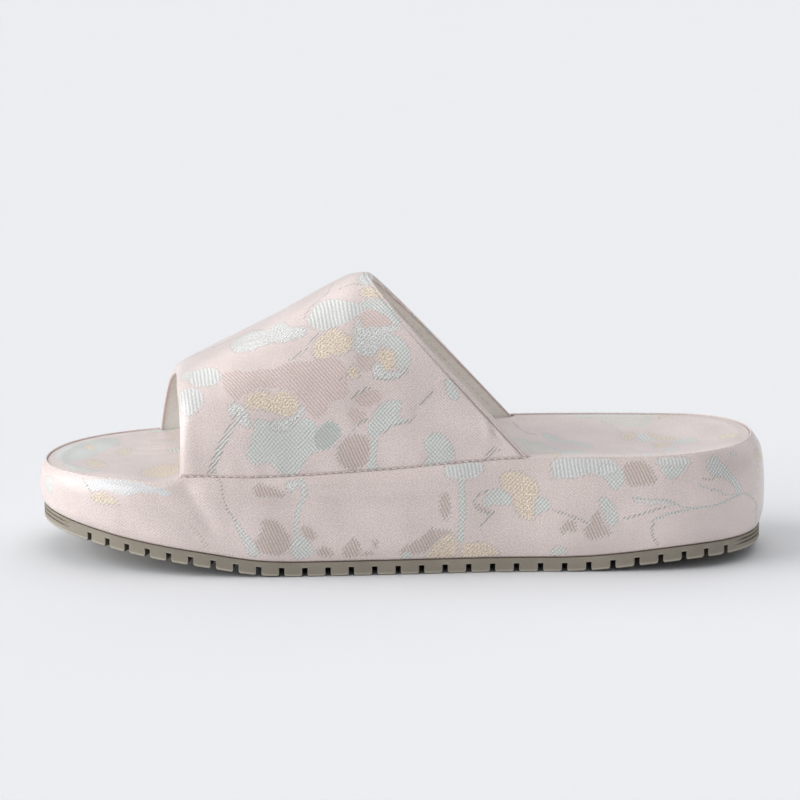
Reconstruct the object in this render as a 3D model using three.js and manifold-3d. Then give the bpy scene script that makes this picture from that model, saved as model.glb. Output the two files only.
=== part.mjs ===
import * as THREE from 'three';
import { mergeVertices } from 'three/addons/utils/BufferGeometryUtils.js';
import Module from 'manifold-3d';

// A slide sandal for the left foot: a wide padded band over the instep, a thick foam platform wrapped
// in cloth, a dished footbed pad and a thin moulded outsole with a row of notches round its edge.
// Millimetres, +X to the toe, +Y to the little-toe side, +Z up from the ground.

const wasm = await Module();
wasm.setup();

// Driving dimensions: about a women's EU 38
const LENGTH = 268;
const HALF = LENGTH / 2;
const TOE_BLUNTNESS = 5.4;
const HEEL_BLUNTNESS = 7;
const OUTSOLE_THICKNESS = 5.2;
const OUTSOLE_INSET = 1.5;
const RECESS_DEPTH = 6.5;
const BAND_WALL = 3.2;
const GAP = 0.3;

// One row for each station, measured from the back of the heel: half widths of the fullest line on the
// little-toe and big-toe sides, height of the seam round the top, how far that seam lies inside the
// fullest line, and how deep the footbed is dished.
const LAST = [
  { at: 0, lateral: 43, medial: 42.5, seam: 43.3, roll: 5.2, dish: 0.5 },
  { at: 40, lateral: 43, medial: 42, seam: 41.6, roll: 4.6, dish: 2.2 },
  { at: 95, lateral: 43, medial: 40, seam: 41.2, roll: 4, dish: 2 },
  { at: 140, lateral: 47, medial: 44, seam: 38, roll: 4.4, dish: 1.6 },
  { at: 185, lateral: 50.5, medial: 50, seam: 35.8, roll: 5.2, dish: 1.4 },
  { at: 212, lateral: 50.2, medial: 50.6, seam: 35.7, roll: 5.6, dish: 1.3 },
  { at: 228, lateral: 49, medial: 50, seam: 34.2, roll: 3.4, dish: 1.2 },
  { at: 268, lateral: 45, medial: 49, seam: 32.9, roll: 2.4, dish: 0.6 },
];

// Ground side of the outsole, measured from the back of the heel: level from the front of the heel to
// the forefoot, rocked up at the back, and sprung up further to the toe.
const SOLE_LINE = [
  { at: 0, rise: 4.1 },
  { at: 14, rise: 4.2 },
  { at: 29, rise: 3.75 },
  { at: 42, rise: 2.7 },
  { at: 54, rise: 1.45 },
  { at: 64, rise: 0.55 },
  { at: 72, rise: 0.15 },
  { at: 77, rise: 0 },
  { at: 171, rise: 0 },
  { at: 176, rise: 0.12 },
  { at: 184, rise: 0.5 },
  { at: 192, rise: 1.45 },
  { at: 200, rise: 2.65 },
  { at: 206, rise: 3.5 },
  { at: 220, rise: 5.4 },
  { at: 233, rise: 7.3 },
  { at: 247, rise: 9.7 },
  { at: 257, rise: 11.2 },
  { at: 263, rise: 11.9 },
  { at: 268, rise: 12 },
];

// The wrapped side from the outsole up to the seam: share of the height, distance inside the fullest
// line, and share of the roll that leads in to the seam.
const SIDE = [
  { up: 0, inside: 2, rolled: 0 },
  { up: 0.05, inside: 1.3, rolled: 0 },
  { up: 0.17, inside: 0.3, rolled: 0 },
  { up: 0.36, inside: 0, rolled: 0 },
  { up: 0.55, inside: 0, rolled: 0.02 },
  { up: 0.68, inside: 0, rolled: 0.08 },
  { up: 0.79, inside: 0, rolled: 0.22 },
  { up: 0.88, inside: 0, rolled: 0.43 },
  { up: 0.95, inside: 0, rolled: 0.7 },
  { up: 1, inside: 0, rolled: 1 },
];

// The footbed pad's rounded rim: height below the seam and distance inside it.
const PAD_RIM = [
  { below: 1.4, inside: 0 },
  { below: 0.4, inside: 0.5 },
  { below: 0, inside: 1.6 },
];
const PAD_RINGS = [0.85, 0.6, 0.3, 0];

// The band's ridge and section: height of the top line, and how square the arch is across the foot.
const BAND = [
  { at: 60, ridge: 137, square: 2 },
  { at: 100, ridge: 118, square: 2.05 },
  { at: 130, ridge: 105.7, square: 2.1 },
  { at: 146, ridge: 102.3, square: 2.2 },
  { at: 153, ridge: 101.2, square: 2.25 },
  { at: 161, ridge: 97.2, square: 2.3 },
  { at: 180, ridge: 86.2, square: 2.5 },
  { at: 200, ridge: 75.6, square: 2.7 },
  { at: 216, ridge: 66.6, square: 2.9 },
  { at: 232, ridge: 57.5, square: 2.9 },
];

// Front edge of the band, by the share of the way over from the little-toe side to the big-toe side.
const THROAT = [
  { at: 0, x: 78.9 },
  { at: 0.12, x: 78.9 },
  { at: 0.22, x: 80.2 },
  { at: 0.32, x: 81.8 },
  { at: 0.45, x: 83 },
  { at: 0.6, x: 84.9 },
  { at: 0.8, x: 89 },
  { at: 1, x: 92.2 },
];

// Back edge of the band: a plane that leans from its foot on the seam up to the peak of the instep,
// and comes forward a little towards the big-toe side.
const BACK_FOOT = { x: -45.3, z: 41.4 };
const BACK_PEAK = { x: 10.4, z: 102.8 };
const BACK_SKEW = 0.06;
const BACK_SEARCH = { from: -70, to: 40 };

// Edge notches of the outsole, by distance round its edge and a little wider apart towards the heel,
// and the groove round its toe and heel
const NOTCH = { pitch: 8, growth: 0.0157, width: 1.7, height: 3.1, depth: 12, fromToe: 43.3, toHeel: 32 };
const GROOVE = { depth: 0.9, low: 2.4, high: 3.6, lip: 0.1, halfSpan: 25 };
const EDGE_CHAMFER = 0.7;

// Mesh fineness
const STATIONS = 44;
const WALK_STEPS = 2400;
const BAND_ACROSS = 36;
const BAND_ALONG = 12;
const ARCH_STEPS = 400;
const ARCH_POINTS = 72;
const HALVINGS = 24;

// Smooth curve through one column of a table, at a given distance in its first column.
function follow(table, at, column) {
  const last = table.length - 1;
  let row = 0;
  while (row < last - 1 && at > table[row + 1].at) row++;
  const slope = (i) => {
    const before = table[Math.max(i - 1, 0)];
    const after = table[Math.min(i + 1, last)];
    return (after[column] - before[column]) / (after.at - before.at);
  };
  const [from, to] = [table[row], table[row + 1]];
  const span = to.at - from.at;
  const t = THREE.MathUtils.clamp((at - from.at) / span, 0, 1);
  const t2 = t * t;
  const t3 = t2 * t;
  return (2 * t3 - 3 * t2 + 1) * from[column] + (t3 - 2 * t2 + t) * slope(row) * span
    + (3 * t2 - 2 * t3) * to[column] + (t3 - t2) * slope(row + 1) * span;
}

// The value between low and high where a test turns from true to false.
function search(low, high, isLow) {
  for (let i = 0; i < HALVINGS; i++) {
    const middle = (low + high) / 2;
    if (isLow(middle)) low = middle;
    else high = middle;
  }
  return (low + high) / 2;
}

// Running lengths along a line of points.
function runningLengths(points) {
  const lengths = [0];
  for (let i = 1; i < points.length; i++) {
    lengths.push(lengths[i - 1] + points[i].distanceTo(points[i - 1]));
  }
  return lengths;
}

// Place in a list of running lengths, in steps of the list, at a distance along it.
function placeAt(lengths, distance) {
  const end = lengths.length - 1;
  if (distance >= lengths[end]) return end;
  const next = lengths.findIndex((length) => length > distance);
  return next - 1 + (distance - lengths[next - 1]) / (lengths[next] - lengths[next - 1]);
}

const last = (x, column) => follow(LAST, x + HALF, column);
const seamHeight = (x) => last(x, 'seam');
const seamInset = (x) => last(x, 'roll');

const groundHeight = (x) => Math.max(0, follow(SOLE_LINE, x + HALF, 'rise'));

// Point of the fullest line, at an angle from the toe tip (0) to the back of the heel (PI). side is 1
// on the little-toe side and -1 on the big-toe side.
function fullest(angle, side) {
  const c = Math.cos(angle);
  const bluntness = c > 0 ? TOE_BLUNTNESS : HEEL_BLUNTNESS;
  const x = HALF * c;
  const width = last(x, side > 0 ? 'lateral' : 'medial');
  return new THREE.Vector2(x, side * width * Math.sqrt(Math.max(0, 1 - Math.abs(c) ** bluntness)));
}

// The fullest line moved inwards along its own normal.
function insetPoint(angle, side, distance) {
  const step = 1e-3;
  const ahead = fullest(Math.max(angle - step, 0), side);
  const behind = fullest(Math.min(angle + step, Math.PI), side);
  const along = behind.sub(ahead).normalize();
  const inward = new THREE.Vector2(-along.y, along.x).multiplyScalar(side);
  return fullest(angle, side).addScaledVector(inward, distance);
}

// Lengths along each side of the fullest line from the toe tip, at evenly spaced angles.
const WALKS = new Map([1, -1].map((side) => {
  const points = Array.from({ length: WALK_STEPS + 1 }, (_, i) => fullest((Math.PI * i) / WALK_STEPS, side));
  return [side, runningLengths(points)];
}));

const sideLength = (side) => WALKS.get(side)[WALK_STEPS];
const angleAt = (side, distance) => (Math.PI * placeAt(WALKS.get(side), distance)) / WALK_STEPS;
const ANGLES = Array.from({ length: STATIONS + 1 }, (_, k) => angleAt(1, (sideLength(1) * k) / STATIONS));

// Line down the middle of the sole that the flat faces close on, short of both ends.
const SPINE_END = HALF - 38;
function spinePoint(x) {
  const along = THREE.MathUtils.clamp(x, -SPINE_END, SPINE_END);
  return new THREE.Vector2(along, (last(along, 'lateral') - last(along, 'medial')) / 2);
}

// One closed ring round the sole. inside(x) is its distance within the fullest line, height(x) is its
// level, and out is 1 at the edge and 0 on the spine.
function ring(inside, height, out = 1) {
  const point = (angle, side) => {
    const full = fullest(angle, side);
    const at = spinePoint(full.x).lerp(insetPoint(angle, side, inside(full.x)), out);
    return new THREE.Vector3(at.x, at.y, height(at.x));
  };
  const lateral = ANGLES.map((angle) => point(angle, 1));
  const medial = ANGLES.slice(1, -1).reverse().map((angle) => point(angle, -1));
  return [...lateral, ...medial];
}

// A closed geometry from triangles, with shared corners merged and flat triangles dropped.
function closedGeometry(triangles) {
  const positions = triangles.flat().flatMap((p) => [p.x, p.y, p.z]);
  const loose = new THREE.BufferGeometry();
  loose.setAttribute('position', new THREE.Float32BufferAttribute(positions, 3));
  const merged = mergeVertices(loose, 2e-3);
  const index = [];
  for (let i = 0; i < merged.index.count; i += 3) {
    const [a, b, c] = [0, 1, 2].map((k) => merged.index.getX(i + k));
    if (a !== b && b !== c && c !== a) index.push(a, b, c);
  }
  merged.setIndex(index);
  return merged;
}

// Skin over a stack of rings, from the lowest to the highest. The first and last lie on the spine.
function stackGeometry(rings) {
  const triangles = [];
  for (let r = 0; r < rings.length - 1; r++) {
    const [low, high] = [rings[r], rings[r + 1]];
    for (let i = 0; i < low.length; i++) {
      const j = (i + 1) % low.length;
      triangles.push([low[i], low[j], high[j]], [low[i], high[j], high[i]]);
    }
  }
  return closedGeometry(triangles);
}

function toSolid(geometry) {
  return new wasm.Manifold(new wasm.Mesh({
    numProp: 3,
    vertProperties: geometry.attributes.position.array,
    triVerts: new Uint32Array(geometry.index.array),
  }));
}

function cut(geometry, cutters) {
  const solids = [geometry, ...cutters].map(toSolid);
  const mesh = wasm.Manifold.difference(solids).getMesh();
  const left = new THREE.BufferGeometry();
  left.setAttribute('position', new THREE.Float32BufferAttribute(mesh.vertProperties, 3));
  left.setIndex([...mesh.triVerts]);
  return left;
}

// Outsole: a moulded sheet with a groove round toe and heel and notches round its edge
const outsoleInset = () => OUTSOLE_INSET;
const onGround = (rise) => (x) => groundHeight(x) + rise;

// The groove's ring: sunk by a share of its depth round the toe and the heel, and flush along the sides.
function grooveRing(sunk, rise) {
  const inEnds = (x) => Math.abs(fullest(Math.acos(x / HALF), 1).y) < GROOVE.halfSpan;
  return ring((x) => OUTSOLE_INSET + (inEnds(x) ? sunk * GROOVE.depth : 0), onGround(rise));
}

// One notch: a block across the edge, square to it, reaching in under the sole.
function notchBlock(angle, side) {
  const overhang = 3;
  const below = 4;
  const edge = insetPoint(angle, side, OUTSOLE_INSET);
  const inward = insetPoint(angle, side, OUTSOLE_INSET + 1).sub(edge).normalize();
  const middle = edge.clone().addScaledVector(inward, (NOTCH.depth - overhang) / 2);
  const roof = groundHeight(edge.x) + NOTCH.height;
  const block = new THREE.BoxGeometry(NOTCH.depth + overhang, NOTCH.width, NOTCH.height + below);
  block.deleteAttribute('normal');
  block.deleteAttribute('uv');
  block.rotateZ(Math.atan2(inward.y, inward.x));
  block.translate(middle.x, middle.y, roof - (NOTCH.height + below) / 2);
  return mergeVertices(block);
}

function outsoleGeometry() {
  const sheet = stackGeometry([
    ring(outsoleInset, onGround(0), 0),
    ring(outsoleInset, onGround(0), 0.5),
    ring(() => OUTSOLE_INSET + EDGE_CHAMFER, onGround(0)),
    ring(outsoleInset, onGround(EDGE_CHAMFER)),
    grooveRing(0, GROOVE.low),
    grooveRing(1, GROOVE.low + GROOVE.lip),
    grooveRing(1, GROOVE.high - GROOVE.lip),
    grooveRing(0, GROOVE.high),
    ring(outsoleInset, onGround(OUTSOLE_THICKNESS)),
    ring(outsoleInset, onGround(OUTSOLE_THICKNESS), 0.5),
    ring(outsoleInset, onGround(OUTSOLE_THICKNESS), 0),
  ]);
  const notches = [];
  for (const side of [1, -1]) {
    const end = sideLength(side) - NOTCH.toHeel;
    const place = (count) => NOTCH.fromToe + NOTCH.pitch * count + NOTCH.growth * count ** 2;
    for (let count = 0; place(count) < end; count++) notches.push(notchBlock(angleAt(side, place(count)), side));
  }
  return cut(sheet, notches);
}

// Platform: the cloth-wrapped foam, with a recess in its top for the footbed
const platformBase = onGround(OUTSOLE_THICKNESS + GAP);
const recessFloor = (x) => seamHeight(x) - RECESS_DEPTH;

function sideRing(row) {
  const height = (x) => THREE.MathUtils.lerp(platformBase(x), seamHeight(x), row.up);
  return ring((x) => row.inside + row.rolled * seamInset(x), height);
}

function platformGeometry() {
  return stackGeometry([
    ring(outsoleInset, platformBase, 0),
    ring(outsoleInset, platformBase, 0.5),
    ...SIDE.map(sideRing),
    ring(seamInset, recessFloor),
    ring(seamInset, recessFloor, 0.5),
    ring(seamInset, recessFloor, 0),
  ]);
}

// Band: one padded wall, arched over the foot and tucked down into the seam on both sides

// Where the band's outer face stands at its foot, just inside the seam.
function bandFoot(x, side) {
  const foot = (angle) => insetPoint(angle, side, seamInset(fullest(angle, side).x) + GAP);
  return foot(search(0, Math.PI, (angle) => foot(angle).x > x)).y;
}

// The arch across the foot at x, as points an equal distance apart from one foot to the other.
const arches = new Map();
function arch(x) {
  const key = x.toFixed(3);
  if (arches.has(key)) return arches.get(key);
  const [left, right] = [bandFoot(x, 1), bandFoot(x, -1)];
  const base = seamHeight(x);
  const rise = follow(BAND, x + HALF, 'ridge') - base;
  const power = 2 / follow(BAND, x + HALF, 'square');
  const dense = Array.from({ length: ARCH_STEPS + 1 }, (_, i) => {
    const angle = (Math.PI * i) / ARCH_STEPS;
    const c = Math.cos(angle);
    const y = (left + right) / 2 + ((left - right) / 2) * Math.sign(c) * Math.abs(c) ** power;
    return new THREE.Vector2(y, base + rise * Math.max(0, Math.sin(angle)) ** power);
  });
  const lengths = runningLengths(dense);
  const even = Array.from({ length: ARCH_POINTS + 1 }, (_, k) => {
    const place = placeAt(lengths, (lengths[ARCH_STEPS] * k) / ARCH_POINTS);
    const i = Math.min(Math.floor(place), ARCH_STEPS - 1);
    return dense[i].clone().lerp(dense[i + 1], place - i);
  });
  arches.set(key, even);
  return even;
}

// Point of the arch at x, where over runs from 0 at the little-toe side to 1 at the big-toe side.
function archPoint(x, over) {
  const points = arch(x);
  const place = THREE.MathUtils.clamp(over, 0, 1) * ARCH_POINTS;
  const i = Math.min(Math.floor(place), ARCH_POINTS - 1);
  const flat = points[i].clone().lerp(points[i + 1], place - i);
  return new THREE.Vector3(x, flat.x, flat.y);
}

// Outward direction of the arch, level where it stands on its feet.
function archNormal(x, over) {
  const step = 0.5;
  const share = 0.5 / BAND_ACROSS;
  const across = archPoint(x, over + share).sub(archPoint(x, over - share));
  const lengthwise = archPoint(x + step, over).sub(archPoint(x - step, over));
  const normal = across.cross(lengthwise);
  if (over === 0 || over === 1) normal.setZ(0);
  return normal.normalize();
}

const throatX = (over) => follow(THROAT, over, 'x');

// Where the leaning back edge cuts the arch.
function backX(over) {
  const lean = (BACK_PEAK.x - BACK_FOOT.x) / (BACK_PEAK.z - BACK_FOOT.z);
  const foot = bandFoot(BACK_FOOT.x, 1);
  return search(BACK_SEARCH.from, BACK_SEARCH.to, (x) => {
    const point = archPoint(x, over);
    return x < BACK_FOOT.x + (point.z - BACK_FOOT.z) * lean + BACK_SKEW * (foot - point.y);
  });
}

// The band's wall. outer and inner are its faces' distances from the arch, both outwards, tuck is how
// far it runs down below the seam, longer how far it is carried past its own front and back edges, and
// first and final are its end columns out of BAND_ACROSS.
function bandGeometry({ outer, inner, tuck, longer, first, final }) {
  const column = (over, drop) => Array.from({ length: BAND_ALONG + 1 }, (_, i) => {
    const x = THREE.MathUtils.lerp(throatX(over) + longer, backX(over) - longer, i / BAND_ALONG);
    const point = archPoint(x, over);
    point.z -= drop;
    const normal = archNormal(x, over);
    return {
      out: point.clone().addScaledVector(normal, outer),
      in: point.clone().addScaledVector(normal, inner),
    };
  });
  const columns = [];
  if (first === 0) columns.push(column(0, tuck));
  for (let j = first; j <= final; j++) columns.push(column(j / BAND_ACROSS, 0));
  if (final === BAND_ACROSS) columns.push(column(1, tuck));

  const triangles = [];
  const quad = (a, b, c, d) => triangles.push([a, c, b], [a, d, c]);
  for (let j = 0; j < columns.length - 1; j++) {
    const [here, next] = [columns[j], columns[j + 1]];
    for (let i = 0; i < BAND_ALONG; i++) {
      quad(here[i].out, next[i].out, next[i + 1].out, here[i + 1].out);
      quad(here[i + 1].in, next[i + 1].in, next[i].in, here[i].in);
    }
    quad(here[0].in, next[0].in, next[0].out, here[0].out);
    quad(here.at(-1).out, next.at(-1).out, next.at(-1).in, here.at(-1).in);
  }
  const [start, end] = [columns[0], columns.at(-1)];
  for (let i = 0; i < BAND_ALONG; i++) {
    quad(start[i].out, start[i + 1].out, start[i + 1].in, start[i].in);
    quad(end[i].in, end[i + 1].in, end[i + 1].out, end[i].out);
  }
  return closedGeometry(triangles);
}

// Footbed: a padded sock that fills the recess, cut away where the band goes down beside it
function footbedGeometry() {
  const floor = (x) => recessFloor(x) + GAP;
  const inset = (inside) => (x) => seamInset(x) + GAP + inside;
  const brim = inset(PAD_RIM.at(-1).inside);
  const top = (out) => (x) => seamHeight(x) - last(x, 'dish') * (1 - out ** 2);
  const pad = stackGeometry([
    ring(inset(0), floor, 0),
    ring(inset(0), floor, 0.5),
    ring(inset(0), floor),
    ...PAD_RIM.map((row) => ring(inset(row.inside), (x) => seamHeight(x) - row.below)),
    ...PAD_RINGS.map((out) => ring(brim, top(out), out)),
  ]);
  const beside = 4;
  const clear = { outer: GAP + 0.6, inner: -BAND_WALL - GAP, tuck: RECESS_DEPTH + 1, longer: GAP };
  return cut(pad, [
    bandGeometry({ ...clear, first: 0, final: beside }),
    bandGeometry({ ...clear, first: BAND_ACROSS - beside, final: BAND_ACROSS }),
  ]);
}

const rubber = new THREE.MeshStandardMaterial({ color: 0x8f8875, roughness: 0.8, metalness: 0 });
const wrapCloth = new THREE.MeshStandardMaterial({ color: 0xd9c3be, roughness: 0.45, metalness: 0 });
const sockCloth = new THREE.MeshStandardMaterial({ color: 0xdcc8c2, roughness: 0.5, metalness: 0 });
const bandCloth = new THREE.MeshStandardMaterial({ color: 0xdfcfcc, roughness: 0.45, metalness: 0 });

const sandal = new THREE.Group();

function addPiece(name, geometry, material) {
  geometry.computeVertexNormals();
  const mesh = new THREE.Mesh(geometry, material);
  mesh.name = name;
  sandal.add(mesh);
}

addPiece('outsole', outsoleGeometry(), rubber);
addPiece('platform', platformGeometry(), wrapCloth);
addPiece('footbed', footbedGeometry(), sockCloth);
addPiece('band', bandGeometry({
  outer: 0,
  inner: -BAND_WALL,
  tuck: RECESS_DEPTH - GAP,
  longer: 0,
  first: 0,
  final: BAND_ACROSS,
}), bandCloth);

// The origin is the middle of the footprint, on the ground.
const box = new THREE.Box3().setFromObject(sandal);
sandal.position.y = -(box.min.y + box.max.y) / 2;

export default sandal;
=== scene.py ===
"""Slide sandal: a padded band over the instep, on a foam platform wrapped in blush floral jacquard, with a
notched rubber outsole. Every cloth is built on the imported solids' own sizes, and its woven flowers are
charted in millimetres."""

import math

import bmesh
import bpy
import numpy as np
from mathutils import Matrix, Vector


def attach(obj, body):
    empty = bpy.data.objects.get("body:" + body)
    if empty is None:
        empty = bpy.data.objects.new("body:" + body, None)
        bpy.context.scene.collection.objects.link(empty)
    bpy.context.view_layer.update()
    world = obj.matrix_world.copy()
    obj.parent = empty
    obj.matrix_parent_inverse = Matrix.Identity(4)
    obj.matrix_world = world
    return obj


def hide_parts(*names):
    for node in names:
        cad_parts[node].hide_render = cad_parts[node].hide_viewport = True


bl_info = {
    "name": "Slide sandal",
    "version": (1, 0, 0),
    "blender": (4, 5, 0),
    "location": "View3D > Sidebar > Slide sandal",
    "description": "Builds a padded slide sandal in floral jacquard round its packed solids",
    "category": "Object",
}

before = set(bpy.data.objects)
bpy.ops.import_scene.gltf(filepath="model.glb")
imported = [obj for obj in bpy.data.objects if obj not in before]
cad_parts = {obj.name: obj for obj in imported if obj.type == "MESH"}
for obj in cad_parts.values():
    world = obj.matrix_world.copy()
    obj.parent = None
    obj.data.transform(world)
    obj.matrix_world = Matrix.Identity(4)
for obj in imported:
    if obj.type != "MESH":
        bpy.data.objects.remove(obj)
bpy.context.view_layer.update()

MM = 0.001

# Sizes shared with the solids, in millimetres

LENGTH = 268.0
HALF = LENGTH / 2
TOE_BLUNTNESS = 5.4
HEEL_BLUNTNESS = 7.0
OUTSOLE_THICKNESS = 5.2
OUTSOLE_INSET = 1.5
RECESS_DEPTH = 6.5
BAND_WALL = 3.2
GAP = 0.3
SPINE_END = HALF - 38

# The last: distance from the back of the heel, half widths on the little-toe and big-toe sides, height of
# the seam round the top, how far that seam lies in, how deep the footbed is dished
LAST = np.array([
    (0, 43, 42.5, 43.3, 5.2, 0.5),
    (40, 43, 42, 41.6, 4.6, 2.2),
    (95, 43, 40, 41.2, 4, 2),
    (140, 47, 44, 38, 4.4, 1.6),
    (185, 50.5, 50, 35.8, 5.2, 1.4),
    (212, 50.2, 50.6, 35.7, 5.6, 1.3),
    (228, 49, 50, 34.2, 3.4, 1.2),
    (268, 45, 49, 32.9, 2.4, 0.6),
])
LATERAL, MEDIAL, SEAM, ROLL, DISH = 1, 2, 3, 4, 5

# The wrapped side: share of the height, distance inside the fullest line, share of the roll
SIDE = np.array([
    (0, 2, 0), (0.05, 1.3, 0), (0.17, 0.3, 0), (0.36, 0, 0), (0.55, 0, 0.02), (0.68, 0, 0.08),
    (0.79, 0, 0.22), (0.88, 0, 0.43), (0.95, 0, 0.7), (1, 0, 0.94),
])

# The band: distance from the back of the heel, height of its ridge, how square its arch is
BAND = np.array([
    (60, 137, 2), (100, 118, 2.05), (130, 105.7, 2.1), (146, 102.3, 2.2), (153, 101.2, 2.25),
    (161, 97.2, 2.3), (180, 86.2, 2.5), (200, 75.6, 2.7), (216, 66.6, 2.9), (232, 57.5, 2.9),
])

# The band's front edge by the share of the way over, and its back edge, a leaning plane
THROAT = np.array([
    (0, 78.9), (0.12, 78.9), (0.22, 80.2), (0.32, 81.8), (0.45, 83), (0.6, 84.9), (0.8, 89), (1, 92.2),
])
BACK_FOOT = (-45.3, 41.4)
BACK_PEAK = (10.4, 102.8)
BACK_SKEW = 0.06

# Edge notches of the outsole: how far round from the toe tip, how high and how deep
NOTCHES = [43.3 + 8 * count + 0.0157 * count**2 for count in range(29)]
NOTCH_HEIGHT, NOTCH_DEPTH = 3.1, 12.0

# Height of the ground side, by distance from the back of the heel
SOLE_LINE = np.array([
    (0, 4.1), (14, 4.2), (29, 3.75), (42, 2.7), (54, 1.45), (64, 0.55), (72, 0.15), (77, 0), (171, 0),
    (176, 0.12), (184, 0.5), (192, 1.45), (200, 2.65), (206, 3.5), (220, 5.4), (233, 7.3), (247, 9.7),
    (257, 11.2), (263, 11.9), (268, 12),
], float)

# How far inside the recess's edge the seam round the top lies, and how far in from the band's back edge
# its fold line runs
SEAM_IN = 0.12
FOLD_IN = 1.5


# The sandal's lines, worked out with whole arrays of places at once

def follow(table, at, column):
    """Smooth curve through one column of a table, at distances in its first column."""
    x, y = table[:, 0], table[:, column]
    slope = np.empty(len(x))
    slope[1:-1] = (y[2:] - y[:-2]) / (x[2:] - x[:-2])
    slope[0] = (y[1] - y[0]) / (x[1] - x[0])
    slope[-1] = (y[-1] - y[-2]) / (x[-1] - x[-2])
    at = np.clip(np.asarray(at, float), x[0], x[-1])
    row = np.clip(np.searchsorted(x, at) - 1, 0, len(x) - 2)
    span = x[row + 1] - x[row]
    t = (at - x[row]) / span
    return (
        (2 * t**3 - 3 * t**2 + 1) * y[row]
        + (t**3 - 2 * t**2 + t) * slope[row] * span
        + (3 * t**2 - 2 * t**3) * y[row + 1]
        + (t**3 - t**2) * slope[row + 1] * span
    )


def last(x, column):
    """One measure of the last at x, such as SEAM or ROLL."""
    return follow(LAST, np.asarray(x) + HALF, column)


def ground(x):
    """Height of the outsole's underside: level but for a rocked heel and a sprung toe."""
    return np.maximum(0, follow(SOLE_LINE, np.asarray(x) + HALF, 1))


def fullest(angle, side):
    """The fullest line, from the toe tip (0) to the back of the heel (pi), on side 1 or -1."""
    c = np.cos(angle)
    blunt = np.where(c > 0, TOE_BLUNTNESS, HEEL_BLUNTNESS)
    x = HALF * c
    width = np.where(side > 0, last(x, LATERAL), last(x, MEDIAL))
    return np.stack([x, side * width * np.sqrt(np.maximum(0, 1 - np.abs(c) ** blunt))], -1)


def inset_point(angle, side, distance):
    """The fullest line moved inwards along its own normal."""
    step = 1e-3
    along = fullest(np.minimum(angle + step, np.pi), side) - fullest(np.maximum(angle - step, 0), side)
    along /= np.linalg.norm(along, axis=-1, keepdims=True)
    inward = np.stack([-along[..., 1], along[..., 0]], -1) * np.asarray(side)[..., None]
    return fullest(angle, side) + inward * np.asarray(distance)[..., None]


WALK = np.linspace(0, np.pi, 6001)
OUTLINE = {side: fullest(WALK, np.full(WALK.shape, side)) for side in (1, -1)}
RUN = {
    side: np.concatenate([[0], np.cumsum(np.linalg.norm(np.diff(line, axis=0), axis=1))])
    for side, line in OUTLINE.items()
}
TO_HEEL = RUN[1][-1]
ROUND = TO_HEEL + RUN[-1][-1]
SHIFT_Y = -(OUTLINE[1][:, 1].max() + OUTLINE[-1][:, 1].min()) / 2


def spine(x):
    """Line down the middle of the sole that flat faces close on, short of both ends."""
    along = np.clip(x, -SPINE_END, SPINE_END)
    return np.stack([along, (last(along, LATERAL) - last(along, MEDIAL)) / 2], -1)


def ring(angle, side, inside, height, out=1.0):
    """Points of one ring round the sole, at inside(x) within the fullest line and height(x) up."""
    x = fullest(angle, side)[:, 0]
    edge = inset_point(angle, side, inside(x) + 0 * x)
    at = spine(x) * (1 - out) + edge * out
    return np.column_stack([at, height(at[:, 0]) + 0 * x])


def foot_line(side):
    """The inset outline on which the band's outer face stands."""
    inner = WALK[5:-5]
    sides = np.full(inner.shape, side)
    return inset_point(inner, sides, last(fullest(inner, sides)[:, 0], ROLL) + GAP)[::-1]


FEET = {1: foot_line(1), -1: foot_line(-1)}


def band_foot(x, side):
    """How far out the band's outer face stands at x, on side 1 or -1."""
    return np.interp(x, FEET[side][:, 0], FEET[side][:, 1])


ARCH_STEPS = 400
ARCH_X = np.linspace(-75, 105, 361)


def arch_curves():
    """The band's arches at ARCH_X, as points at equal shares of each arch's length, and those lengths."""
    left, right = band_foot(ARCH_X, 1), band_foot(ARCH_X, -1)
    base = last(ARCH_X, SEAM)
    rise = follow(BAND, ARCH_X + HALF, 1) - base
    power = (2 / follow(BAND, ARCH_X + HALF, 2))[:, None]
    angle = np.linspace(0, np.pi, 801)
    c, s = np.cos(angle), np.maximum(0, np.sin(angle))
    y = ((left + right) / 2)[:, None] + ((left - right) / 2)[:, None] * np.sign(c) * np.abs(c) ** power
    z = base[:, None] + rise[:, None] * s**power
    run = np.concatenate([np.zeros((len(ARCH_X), 1)), np.cumsum(np.hypot(np.diff(y), np.diff(z)), 1)], 1)
    share = np.linspace(0, 1, ARCH_STEPS + 1)
    even = [
        np.column_stack([np.interp(share * r[-1], r, yy), np.interp(share * r[-1], r, zz)])
        for r, yy, zz in zip(run, y, z)
    ]
    return np.array(even), run[:, -1]


ARCH, ARCH_LENGTH = arch_curves()


def arch_point(x, over):
    """(y, z) of the arch at x, where over runs from 0 at the little-toe side to 1 at the big-toe side."""
    i = np.clip((x - ARCH_X[0]) / (ARCH_X[1] - ARCH_X[0]), 0, len(ARCH_X) - 1.001)
    j = np.clip(np.clip(over, 0, 1) * ARCH_STEPS, 0, ARCH_STEPS - 1e-6)
    i0, j0 = i.astype(int), j.astype(int)
    fi, fj = (i - i0)[..., None], (j - j0)[..., None]
    low = ARCH[i0, j0] * (1 - fi) + ARCH[i0 + 1, j0] * fi
    high = ARCH[i0, j0 + 1] * (1 - fi) + ARCH[i0 + 1, j0 + 1] * fi
    return low * (1 - fj) + high * fj


def throat_x(over):
    """Where the band's front edge lies, by the share of the way over."""
    return follow(THROAT, over, 1)


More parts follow.
